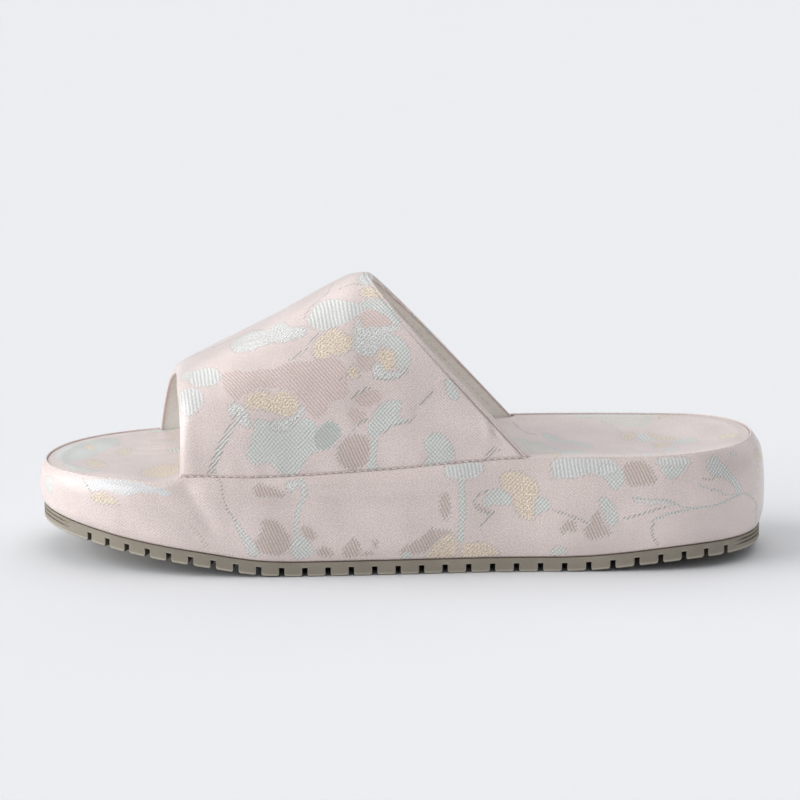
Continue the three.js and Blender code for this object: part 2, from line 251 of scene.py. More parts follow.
def back_x(over):
    """Where the leaning back edge cuts the arch."""
    lean = (BACK_PEAK[0] - BACK_FOOT[0]) / (BACK_PEAK[1] - BACK_FOOT[1])
    foot = band_foot(BACK_FOOT[0], 1)
    low, high = np.full(np.shape(over), -70.0), np.full(np.shape(over), 40.0)
    for _ in range(30):
        middle = (low + high) / 2
        y, z = np.moveaxis(arch_point(middle, over), -1, 0)
        is_low = middle < BACK_FOOT[0] + (z - BACK_FOOT[1]) * lean + BACK_SKEW * (foot - y)
        low, high = np.where(is_low, middle, low), np.where(is_low, high, middle)
    return (low + high) / 2


def band_ends(side):
    """Where the band's foot ends behind and in front, for each column's side of the sole."""
    rear = np.where(side > 0, back_x(np.array(0.0)), back_x(np.array(1.0)))
    return rear, np.where(side > 0, throat_x(0.0), throat_x(1.0))


def smooth(low, high, at):
    """An even step from 0 to 1 between low and high."""
    t = np.clip((at - low) / (high - low), 0, 1)
    return t * t * (3 - 2 * t)


def hump(at, middle, width):
    """A soft ridge, 1 at the middle and falling off over its width."""
    return np.exp(-(((at - middle) / width) ** 2))


def fold(chart, start, end, width):
    """A straight crease on a chart: 1 along its line, fading to both ends and sideways over width."""
    start, end = np.array(start, float), np.array(end, float)
    step = end - start
    reach = np.linalg.norm(step)
    relative = chart - start
    along = relative @ step / reach**2
    aside = (relative[..., 0] * step[1] - relative[..., 1] * step[0]) / reach
    return hump(aside, 0, width) * smooth(-0.15, 0.2, along) * smooth(1.15, 0.8, along)


RIPPLES = np.random.default_rng(7).uniform(-1, 1, (14, 4))


def undulation(chart, size):
    """Soft unevenness of padded cloth between -1 and 1, its swells about size millimetres apart."""
    total = 0
    for turn, lean, phase, weight in RIPPLES:
        heading = turn * math.pi
        wave = (1 + 0.5 * lean) * 2 * math.pi / size
        across = chart[..., 0] * math.cos(heading) + chart[..., 1] * math.sin(heading)
        total = total + (0.6 + 0.4 * weight) * np.sin(across * wave + phase * math.pi)
    return total / 5


# Meshes

def round_columns(lateral):
    """Places, angles and sides round the edge for places along the little-toe side from toe tip to heel,
    with the same angles again on the big-toe side, so that both sides meet on the spine."""
    angle = np.interp(lateral, RUN[1], WALK)
    back = angle[-2:0:-1]
    places = np.concatenate([lateral, ROUND - np.interp(back, WALK, RUN[-1])])
    return places, np.concatenate([angle, back]), np.concatenate([np.ones(len(angle)), -np.ones(len(back))])


def grid_faces(rows, columns):
    """Quads over a grid of points whose columns close into a ring."""
    r, c = np.meshgrid(np.arange(rows - 1), np.arange(columns), indexing="ij")
    here, beside = r * columns + c, r * columns + (c + 1) % columns
    return np.stack([here, beside, beside + columns, here + columns], -1).reshape(-1, 4)


def grid_normals(stack):
    """Unit normals of a closed grid of points."""
    round_it = np.roll(stack, -1, 1) - np.roll(stack, 1, 1)
    up_it = np.gradient(stack, axis=0)
    normal = np.cross(round_it, up_it)
    return normal / np.maximum(np.linalg.norm(normal, axis=-1, keepdims=True), 1e-9)


def make_piece(name, stack, materials, places=None, charts=None, values=None):
    """A named, closed mesh at the origin from a grid of points in millimetres whose columns run round.
    places gives each face's material, charts the weave's coordinates in millimetres for each face corner,
    values one number for each point under each name."""
    rows, columns = stack.shape[:2]
    points, faces = stack.reshape(-1, 3), grid_faces(rows, columns)
    mesh = bpy.data.meshes.new(name)
    mesh.from_pydata((points * MM).tolist(), [], faces.tolist())
    for material in materials:
        mesh.materials.append(material)
    if places is not None:
        mesh.polygons.foreach_set("material_index", np.asarray(places, np.int32))
    if charts is not None:
        layer = mesh.uv_layers.new(name="weave", do_init=False)
        layer.uv.foreach_set("vector", np.asarray(charts, np.float32).ravel())
    for key, numbers in (values or {}).items():
        layer = mesh.attributes.new(key, "FLOAT", "POINT")
        layer.data.foreach_set("value", np.asarray(numbers, np.float32).ravel())
    # Points that meet, on the spine and where a row shrinks to nothing, are joined.
    shape = bmesh.new()
    shape.from_mesh(mesh)
    bmesh.ops.remove_doubles(shape, verts=shape.verts, dist=1e-6)
    bmesh.ops.holes_fill(shape, edges=[edge for edge in shape.edges if edge.is_boundary], sides=0)
    bmesh.ops.recalc_face_normals(shape, faces=shape.faces)
    shape.to_mesh(mesh)
    shape.free()
    mesh.shade_smooth()
    piece = bpy.data.objects.new(name, mesh)
    bpy.context.scene.collection.objects.link(piece)
    return piece


def centred(points):
    """Points moved sideways, as the solids are, so that the footprint's middle is the origin."""
    return points + np.array([0, SHIFT_Y, 0])


def corner_charts(along, up, closing):
    """Chart coordinates for each corner of a closed grid's quads. along is each column's coordinate, up is
    each point's, and closing is the first column's coordinate when the ring comes round to it again."""
    wide = np.append(along, closing)
    r, c = np.meshgrid(np.arange(len(up) - 1), np.arange(len(along)), indexing="ij")
    after = (c + 1) % len(along)
    corners = [
        (wide[c], up[r, c]), (wide[c + 1], up[r, after]),
        (wide[c + 1], up[r + 1, after]), (wide[c], up[r + 1, c]),
    ]
    return np.stack([np.stack(pair, -1) for pair in corners], 2).reshape(-1, 2)


def pucker(points):
    """The tug beside the band's front foot: there the cloth and its seam are drawn out and down a little."""
    x, y, z = np.moveaxis(points, -1, 0)
    near = hump(x, 86.5, 8) * smooth(20, 42, y) * smooth(-4.5, 0, z - last(x, SEAM))
    return points + near[..., None] * np.array([0, 1.6, -1.5])


# The charted flowers

# Outlines are in millimetres on each cloth's own chart and are rounded off between the places. A width of 0
# means a filled figure, otherwise it is half the width of a line.

KINDS = ("pale", "frost", "rib", "mauve", "sage", "deep", "silver", "gold", "hatch", "stem", "line")
FAR = 3.0

PLATFORM_FIGURES = (
    ("frost", 0, """
        41.5,16.5 44.5,19 52,21 60.5,22.5 70.5,23.5 75,22.5 78,19.5 73.5,19.5 69,19.5 63.5,18.5 59.5,16
          54,17 49,16 46,14.5 43,15;
    """),
    ("silver", 0, """
        175,34 179,35 183,35.5 187,36 189,34.5 188.5,32 186,30.5 184,29.5 180,29.5 177,30 175.5,31.5;
        213,30.5 213,35.5 215.5,37 223.5,37 230,36.5 235,35 238.5,32.5 235,30.5 230.5,30 227,31 223.5,30
          218,29.5 214.5,29.5;
        250.5,33 252.5,34 258.5,33.5 262.5,33 264.5,30.5 262,29.5 257,30.5 252.5,31;
    """),
    ("gold", 0, """
        45,12.5 48,15 51,15.5 54.5,15 58,13.5 56,12 52,11.5 48,11;
        167.5,1 169.5,4.5 172.5,7.5 175.5,10 178,9.5 179.5,7 179.5,3.5 178,0 173.5,0 170,0;
        180.5,1 181,4.5 183,6 187,6.5 190.5,5.5 194,3.5 195.5,2 192,0.5 187,0 183,0;
        195,31 197.5,32 200,32.5 203,31 206,30 208,28.5 208.5,23.5 207.5,20 206.5,17.5 208,15 205.5,14
          202.5,15.5 200.5,18 199,21 199.5,24.5 197.5,24 195.5,26 195,28.5;
        298.5,29.5 304.5,29.5 306.5,27 302,25 298,26.5;
        296,25 300,24 300.5,20.5 297,20;
    """),
    ("sage", 0, """
        16,12.5 22,13.5 24.5,11.5 23.5,7.5 21,7.5 17,9;
        99,15.5 100.5,15 103.5,10.5 105.5,8 108,4.5 109,2 105,1.5 104,4.5 102.5,8 101,11.5;
        121,10.5 123.5,11 125.5,9 127.5,6.5 128,2.5 124.5,1.5 120.5,2 119.5,5 120.5,8;
        159,1 160.5,3.5 163.5,3 163,0.5 160,0;
        189,20 188.5,22.5 190.5,25 193.5,26 196.5,25 199,22.5 198.5,20 195.5,20 192,20.5 190,19.5;
        207,17 207,20 208,23 209.5,23 212.5,21.5 212.5,18.5 210,17.5 208,16.5;
        212,1 214,3.5 216,5 218.5,3.5 219.5,1.5 216,0.5;
        231,34 235,33.5 238.5,31.5 239,27.5 237.5,24.5 235.5,24.5 233.5,27 231,29.5 230,32;
        251.5,31.5 257,30.5 263,30 261,27.5 258,26 255,26 253,28;
        270.5,30.5 272.5,32 276,31.5 277,29.5 279.5,26 282.5,22 286,18.5 286.5,16.5 283.5,17 281,20.5 278,24
          274.5,24.5 271.5,26 270.5,28;
        230,22 232.5,22 235,20.5 236.5,17.5 237,14.5 236.5,11.5 235,11 233,13 231.5,16.5 230.5,19;
        282,32.5 285,33 286.5,31.5 283.5,31;
    """),
    ("line", 0.32, """
        40,19 43,16 45.5,14;
        190,25 186,23.5 185,21 187,18 190.5,17 193,18 190.5,15.5 187.5,11.5;
        249.5,11.5 249.5,8 250,5 252,1.5;
        213.5,18.5 217,17 220.5,15.5 224,14 227.5,12;
    """),
    ("line", 0.34, """
        93.5,29.5 95,27 96,22 97.5,18.5 100,14.5;
    """),
    ("gold", 0.25, """
        84.5,10 87,7 90,3;
    """),
    ("mauve", 0, """
        108,29 111,28.5 115.5,27.5 118.5,25.5 117,24 112,24 107.5,24 106,26;
        109,15 110.5,16 112.5,16 115,15.5 117.5,13.5 119.5,10.5 120,7 119,4 116,2.5 111.5,3 108,4.5 106,7.5
          108,9 109.5,11;
        124,13.5 126.5,14 128.5,11.5 129,9 127,8.5 125,9.5 123.5,12;
        138.5,2 138.5,5 140.5,8 142,9.5 144,8.5 145,5.5 144.5,2 142,1.5;
        128.5,5.5 131.5,6 134,5 135.5,2.5 132.5,2 129.5,3;
        144.5,2 146.5,4 149.5,4 149,2;
        148.5,7.5 150.5,8.5 151,6.5 150.5,5 149,5.5;
        173,24 175.5,25 177,22 177,18 176,14.5 174,15.5 173,18.5;
        159,4 160.5,5.5 164.5,7.5 167.5,9.5 169.5,12 173,12 177,11 178.5,8.5 176,7 173.5,5 169.5,4 165.5,2.5
          162,1.5 159.5,1;
        186,22.5 188.5,19.5 191,18.5 192.5,17 190,16.5 187,18 185.5,20.5;
        239,33 242,34.5 246,33.5 248.5,31.5 250.5,28.5 251.5,25.5 248.5,24.5 243.5,24.5 240,26 238.5,29;
        216.5,11.5 218.5,14.5 221.5,14.5 222.5,11.5 222,9.5 219,10.5 217,8;
        224.5,10.5 227,13 228.5,17 230,17.5 231,14 234,10 235.5,8 231.5,7 227,6.5 225,8.5;
    """),
    ("hatch", 0, """
        118,29.5 120.5,30.5 123.5,30.5 123.5,28.5 121,26.5 119,26 118.5,28;
    """),
    ("sage", 0.75, """
        124,30.5 125,27.5 124.5,24 123,20.5 122,17 121.5,12.5 122.5,9.5;
    """),
    ("sage", 0.95, """
        181,29.5 181,24 181.5,18.5 181,13 180.5,7.5;
    """),
    ("stem", 0.35, """
        286.5,16.5 282,16 276,14.5 271,14 266.5,14 261.5,15 258,16.5 253.5,18.5 248.5,19.5 242.5,21;
        263.5,14 259.5,13.5 255,13.5 252,12 249.5,11.5;
    """),
    ("silver", 0.45, """
        256.5,17 252,18 248.5,18 244,20;
    """),
    ("stem", 0.3, """
        284.5,17 278.5,17.5 274.5,19 269.5,21 266,23;
        297.5,9 293.5,8.5;
    """),
    ("line", 0.3, """
        255,16 250.5,15.5 246.5,15 243.5,14 239,13.5;
        274.5,25.5 272,24 268,24.5;
    """),
    ("stem", 0.4, """
        286.5,16.5 291.5,15 294,12.5 298.5,8.5 297,6 299.5,2 296.5,0.5;
    """),
)

FOOTBED_FIGURES = (
    ("sage", 0, """
        129.5,-0.5 128,-12.5 123,-20 116,-26 112.5,-28 107,-27.5 106.5,-17.5 111.5,-12.5 113,-3 118,3.5
          122,9.5 125.5,9.5;
        125.5,9.5 121,11.5 116,19.5 109.5,23.5 110.5,29.5 116.5,26 122.5,19;
        -52,-12.5 -56,-9 -59,-0 -64,1 -68.5,4.5 -70,13 -68.5,17.5 -66,9.5 -62,6 -57.5,4.5 -53,-0.5;
        -55,13 -58.5,19.5 -63,21 -66.5,22.5 -67,30.5 -62,32.5 -59,32.5 -56.5,24.5;
        -100.5,2.5 -105,2 -108.5,3 -108.5,10 -104,10.5 -100.5,9.5;
        -78,30 -79.5,25.5 -81,32 -79,35;
    """),
    ("gold", 0, """
        117,7 114.5,2 110,9 107,15.5 109,20.5 113,17 115.5,13.5;
        119.5,-17 117.5,-20 114.5,-14.5 116.5,-8.5;
        106.5,-10.5 104,-15 101,-14.5 102,-5 105,-2;
        95.5,28 92,18 86.5,15.5 81,19.5 79.5,36 85,38.5 90.5,36;
        -81.5,-9 -84.5,-12.5 -87,-9 -85.5,-1 -82,-0.5;
        -91,-12.5 -93,-10 -95,-7 -97,-4.5 -100.5,-2 -102,1.5 -98,2.5 -95,0 -93,-5;
        -92,5 -95,6.5 -98,5.5 -99,8 -97,14 -94.5,13 -93,18.5 -92,11.5;
        -97.5,-29 -100,-35.5 -102.5,-38.5 -106,-39 -107,-35.5 -104.5,-31 -101,-30 -97.5,-27;
        -116.5,6 -119,1.5 -121.5,3 -123.5,8 -124,13.5 -121.5,14 -119.5,8 -117.5,11;
        -50,27.5 -53,24.5 -55.5,29.5 -57.5,35.5 -54.5,37 -51.5,34;
    """),
    # The first silver patch, beside the band's front opening, is a painted satin highlight drawn in silver
    # thread.
    ("silver", 0, """
        89,-10.5 83,-12 81,-3 84.5,-3;
        -87,-9 -91,-10.5 -92,-1.5 -89.5,4.5 -87.5,-0.5;
        -95,20 -97.5,15.5 -100,14.5 -100.5,19.5 -98,23.5 -96.5,30 -95,28;
        -86,26 -88.5,24 -89.5,32.5 -87.5,35.5 -86,33.5;
    """),
    # The first silver streak, beside the band's front opening, is a painted satin highlight drawn in silver
    # thread.
    ("silver", 0.3, """
        95,-23.5 89,-23.5 82.5,-18.5;
        -81,13 -84,17.5 -85.5,24;
    """),
    ("hatch", 0, """
        97,-36.5 94.5,-46.5 90,-47 86.5,-40 88.5,-34 93,-34;
    """),
    ("line", 0.36, """
        -42,-25 -44,-16 -47,-10.5 -50,-7.5;
    """),
    ("pale", 0, """
        -38.5,3.5 -42.5,-6 -47.5,1 -52.5,6.5 -56,15 -57,24.5 -54,31 -46.5,21 -42.5,15.5;
        -61,-31.5 -66,-37 -76,-43 -85.5,-44.5 -95,-40 -96.5,-32.5 -94,-22.5 -89.5,-18 -84,-20 -78.5,-25
          -73.5,-28.5 -67.5,-28.5;
    """),
    ("gold", 0.5, """
        -89,-37 -93,-33;
    """),
    ("silver", 0.35, """
        -75.5,-26.5 -79,-21.5 -81.5,-13;
    """),
)

BAND_FIGURES = (
    ("silver", 0, """
        33.5,61 32.5,65.5 29,69 24.5,67.5 20,64.5 16.5,63 13,62 13,59 16.5,57 18,56 20.5,55 24.5,53.5
          28.5,52.5 32.5,55.5 34,59;
        77,47 73,46 69,45 65.5,41 64.5,37.5 66,35 70,34 74.5,34.5 77.5,39.5;
        80,34 76,34.5 72,32.5 71,29 71.5,25 75,22 78,22.5 80,28;
    """),
    ("sage", 0, """
        16,63 13,64.5 8,64 4,60 1,55 0,52.5 3,52.5 5.5,56 9.5,59 13,60;
        53.5,20.5 50,21 47,20 43.5,16.5 39.5,17.5 36,21 32,20 30,16 27.5,19 24,19 22,16.5 21.5,13 24,10
          28,8.5 32.5,8 35,5 36.5,0.5 39,0 43.5,0.5 46,4 48.5,6.5 50,4.5 52.5,4 55,7 55.5,9.5 54,11.5
          53.5,14.5 52.5,17;
        9.5,21 7,24 4,25 0,24.5 0.5,21 2,19 -1,18 -3,17 1.5,16.5 5,15 7.5,14 8.5,11 10.5,11 12,14 12.5,16.5
          10.5,18.5;
        11,11.5 8.5,11.5 9,7 9.5,3 8.5,0 12,0 13,2 11,5;
        -7.5,9.5 -12,12 -15.5,10 -18,6.5 -19,1 -15.5,0 -10.5,0 -6.5,0 -10,3.5 -8,6.5;
        -15,31 -18,30 -19.5,26.5 -20.5,23.5 -18,22.5 -15.5,26;
        7,49 3,49 -0.5,46 -3,41.5 -3,37 -1,35.5 1.5,34.5 2,38 2,41.5 4.5,44 7.5,44.5 8.5,47;
    """),
    ("hatch", 0, """
        60,67 55,69 48.5,61 45.5,65 43,64 40.5,57.5 36.5,57 33.5,56 35,52 39.5,51 43,50 46.5,52.5 50.5,50.5
          55.5,49.5 60,50.5 62.5,56.5 62.5,63.5;
        17,56 15,56.5 15,52 11,52 5.5,52 1.5,52.5 -0.5,50.5 4.5,49.5 8,45 9.5,41.5 13,41.5 16.5,43 18,46
          17,48.5;
        11,37.5 8,39 6.5,35.5 2.5,34.5 -1,36 -2,34.5 1.5,32.5 6.5,32.5 10.5,33.5;
        46.5,20 42,20.5 39,21 37,23 36,25.5 34,24 36,20.5 39.5,17.5 43.5,16 46.5,17.5;
        62.5,26 59,27 55.5,24.5 54,21.5 54.5,17 57.5,19.5 60.5,21.5;
        16.5,79 14.5,87 12,89.5 11,77.5 9.5,73 10,72.5 13,73.5 15.5,74;
        80,48.5 77.5,51 76,45 77,40 79.5,41.5;
    """),
    ("gold", 0, """
        32,45.5 31,49 28.5,51.5 25.5,54 22,52.5 20,50 17,48 17.5,45 20,43.5 23,42 25,43.5 27,41.5 30,41.5
          31.5,43;
        9,42 6,43.5 3,42.5 1.5,38.5 3.5,35.5 6.5,35 8.5,37 8,39.5;
        20,37 17.5,38.5 15,37 15,34.5 17,33 19,34;
        15.5,69.5 13,71.5 10,70 7.5,68 6,64 9,65 12.5,66 15,66;
        56.5,27 54.5,30 51.5,31.5 47.5,31 46,28 44,30.5 40.5,30.5 38,28.5 36,25.5 37.5,23 39.5,21 42,21
          45,23 50,24.5 54,24.5;
    """),
    ("deep", 0, """
        31.5,13.5 30,16 27.5,19 24,19 22,16.5 21.5,13 24,10.5 27.5,8.5 30.5,9.5;
    """),
    ("rib", 0, """
        17.5,41.5 13,42 8.5,40.5 10,37.5 11.5,35.5 14.5,36.5 16,39;
        19.5,23 16,23 13,21 12.5,18 15,16 18,18 19.5,20.5;
        17.5,27 14,29 11,29.5 8,28.5 7,25 9.5,23.5 13,23 16,24.5;
        64.5,40 60,40.5 54.5,39 50,40 45.5,39 41.5,41 36.5,41.5 32,40.5 28.5,42.5 23,41.5 20,39 20,34.5
          18.5,30.5 20.5,26.5 25.5,26 27,23 28.5,20 32,20 35,25.5 38,29 40.5,31.5 44,31.5 47.5,32.5
          51.5,32.5 55,30.5 58.5,27 62,30 64.5,34;
        16,56.5 13,59 8.5,59 5,55.5 2,52.5 5.5,52 11,52.5 14.5,53;
    """),
    ("mauve", 0, """
        23.5,9 20.5,12.5 18,14 14,13 11.5,11.5 11.5,7.5 12,3.5 14.5,1 18.5,0.5 21.5,2.5 23,5.5;
    """),
    ("line", 0.34, """
        58.5,23.5 60.5,20.5 62.5,16.5 64.5,12.5 67,8 69,1.5;
        56.5,22 59.5,18 62,14.5 64,10 66,6 67.5,1.5;
        40,42.5 36.5,44.5 33,48 30,51.5;
        22,33.5 19.5,35.5 18,37.5;
    """),
    ("sage", 0.55, """
        58,21.5 61,17 63.5,13 65.5,9 67.5,2;
    """),
    ("line", 0.32, """
        78,73 72.5,69.5 67,71 60.5,71.5 55.5,72.5 50.5,64;
        61.5,54.5 59,59 54.5,57.5 49,56.5;
        35.5,61.5 34,66 31.5,69 28.5,71 26.5,76.5 25,85;
        18.5,15 16,17.5 12,18.5;
        18,26.5 15,29 11.5,30;
        7,13.5 4.5,15 1,16.5 -3.5,17 -5.5,18.5;
        23,74 19.5,75.5 14.5,73.5;
        73.5,76.5 68.5,71 63,70;
        -29,1.5 -31.5,3.5 -33,4.5;
        -30,0.5 -32.5,2.5 -34.5,3.5;
    """),
    ("line", 0.36, """
        10.5,33.5 6.5,32.5 1.5,32.5 -2,35;
    """),
    ("line", 0.3, """
        -7,22.5 -9,24.5 -11,26.5;
    """),
)


def charted(figures):
    """Figures with their outlines as arrays of places."""
    return [
        (kind, width, [
            np.array([[float(n) for n in pair.split(",")] for pair in outline.split()])
            for outline in outlines.strip().rstrip(";").split(";")
        ])
        for kind, width, outlines in figures
    ]


# The stretch of footbed that the band covers carries the band's own flowers, laid flat.
COVERED_FIGURES = [
    (kind, width, [outline * [1, -1] + [-4, 46] for outline in outlines])
    for kind, width, outlines in charted(BAND_FIGURES)
]


def rounded(spots, closed):
    """A figure's places with their corners cut twice."""
    for _ in range(2):
        here, ahead = (spots, np.roll(spots, -1, 0)) if closed else (spots[:-1], spots[1:])
        cut = np.stack([0.75 * here + 0.25 * ahead, 0.25 * here + 0.75 * ahead], 1).reshape(-1, 2)
        spots = cut if closed else np.concatenate([spots[:1], cut, spots[-1:]])
    return spots


def figure_distance(chart, spots, closed):
    """Distance from each chart place to a figure's outline, negative inside a closed one."""
    starts, ends = (spots, np.roll(spots, -1, 0)) if closed else (spots[:-1], spots[1:])
    step = ends - starts
    relative = chart[:, None] - starts
    share = np.clip((relative * step).sum(-1) / np.maximum((step**2).sum(-1), 1e-9), 0, 1)
    distance = np.sqrt(((relative - share[..., None] * step) ** 2).sum(-1)).min(1)
    if closed:
        x, y = chart[:, :1], chart[:, 1:]
        spans = (starts[:, 1] <= y) != (ends[:, 1] <= y)
        rise = np.where(np.abs(step[:, 1]) < 1e-9, 1e-9, step[:, 1])
        inside = (spans & (x < starts[:, 0] + (y - starts[:, 1]) * step[:, 0] / rise)).sum(1) % 2 == 1
        distance = np.where(inside, -distance, distance)
    return distance


def weave_values(chart, figures, moves=((0, 0),), wander=0.45):
    """For each place of a chart, the distance in millimetres to the nearest figure of each kind, up to FAR.
    The figures repeat at each of the moves, and their outlines wander by about the given distance."""
    chart = chart.reshape(-1, 2)
    strayed = [
        undulation(chart + shift, 9) + 0.6 * undulation(chart - shift, 4) for shift in ((31, 87), (64, 12))
    ]
    chart = chart + wander * np.stack(strayed, -1)
    values = {kind: np.full(len(chart), FAR) for kind in KINDS}
    for kind, width, outlines in figures:
        for drawn in outlines:
            for move in moves:
                spots = rounded(drawn + np.array(move), width == 0)
                low, high = spots.min(0) - FAR, spots.max(0) + FAR
                near = np.flatnonzero(((chart > low) & (chart < high)).all(1))
                if len(near):
                    distance = figure_distance(chart[near], spots, width == 0) - width
                    values[kind][near] = np.minimum(values[kind][near], distance)
    return values


# Materials

def linear(code):
    """An sRGB hex colour as linear red, green and blue."""
    parts = [((code >> shift) & 255) / 255 for shift in (16, 8, 0)]
    return [p / 12.92 if p <= 0.04045 else ((p + 0.055) / 1.055) ** 2.4 for p in parts]


def add(tree, kind, *values, named=None, **settings):
    """Adds a node: settings are its own, values go to its open inputs in order and named to inputs by name,
    each a number, a colour, a node or one of a node's outputs."""
    made = tree.nodes.new(kind)
    for name, value in settings.items():
        setattr(made, name, value)
    open_inputs = [socket for socket in made.inputs if socket.enabled]
    pairs = list(zip(open_inputs, values))
    pairs += [(made.inputs[name], value) for name, value in (named or {}).items()]
    for socket, value in pairs:
        if isinstance(value, bpy.types.Node):
            value = next(output for output in value.outputs if output.enabled)
        if isinstance(value, bpy.types.NodeSocket):
            tree.links.new(value, socket)
        elif value is not None:
            socket.default_value = value
    return made


def new_material(name):
    """An empty material of that name and its node tree."""
    material = bpy.data.materials.new(name)
    material.use_nodes = True
    material.node_tree.nodes.clear()
    return material, material.node_tree


# The scale at which a wave texture's bands lie one unit apart
WAVE_SCALE = 0.314159


def ribs(tree, weave, lean, pitch, wobble=0.9):
    """Threads side by side, 0 to 1 across each: lean is their angle in degrees, pitch in millimetres."""
    turned = add(tree, "ShaderNodeMapping", weave, named={"Rotation": (0, 0, -math.radians(lean))})
    return add(tree, "ShaderNodeTexWave", turned, bands_direction="Y", named={
        "Scale": WAVE_SCALE / pitch, "Distortion": wobble, "Detail": 2, "Detail Scale": 0.8,
    })


# Threads of the figures, lowest layer first: kind, colour on the ribs, colour between them, which ribs,
# how high they stand, how dull they are. The real ribs are about 0.8 mm apart and are drawn a little wider.
FIGURE_THREADS = (
    # a field barely greyer than the ground
    ("pale", 0xE3DFD7, 0xD3D0C8, "falling", 0.25, 0.48),
    # a frosted whitish ribbon in herringbone
    ("frost", 0xF2F1EF, 0xCDCFD0, "chevron", 0.5, 0.42),
    # pink petals told from the ground by their ribs alone
    ("rib", 0xE8D7D1, 0xC9B3AC, "falling", 0.5, 0.38),
    # brownish mauve petals
    ("mauve", 0xDFCFC7, 0xB7A59D, "steep", 0.5, 0.48),
    # leaves in matt grey-green
    ("sage", 0xF0F1EC, 0xB4B9B3, "chevron", 0.4, 0.5),
    # the lobe where the green is packed closest
    ("deep", 0xD2D4CF, 0xAEB2AD, "falling", 0.4, 0.5),
    # bright petals with upright ribs
    ("silver", 0xECECE9, 0xC6C8C5, "upright", 0.7, 0.38),
    # flower hearts in soft gold
    ("gold", 0xFBF1E2, 0xC9AE90, "speckled", 0.8, 0.4),
    # coarse grey and white flecks
    ("hatch", 0xFAFAF7, 0xB2B2AD, "speckled", 0.9, 0.42),
    # veins and stalks in pale blue-green
    ("stem", 0xDDE0DA, 0xA3AAA4, "steep", 0.8, 0.48),
    # outlines of alternate dark and white floats
    ("line", 0xF0EDEA, 0xA0998F, "rising", 0.8, 0.48),
)
# Kinds whose edges are the most broken up, and kinds outlined with floats of their own
RAGGED = ("gold", "hatch", "silver")
OUTLINED = ("mauve", "sage", "silver", "gold", "hatch")

# What the dark side of the ground's twill keeps of the blush's red, green and blue, and how dull it is
GROUND_KEEPS, GROUND_DULLNESS = (0.8, 0.765, 0.755), 0.28


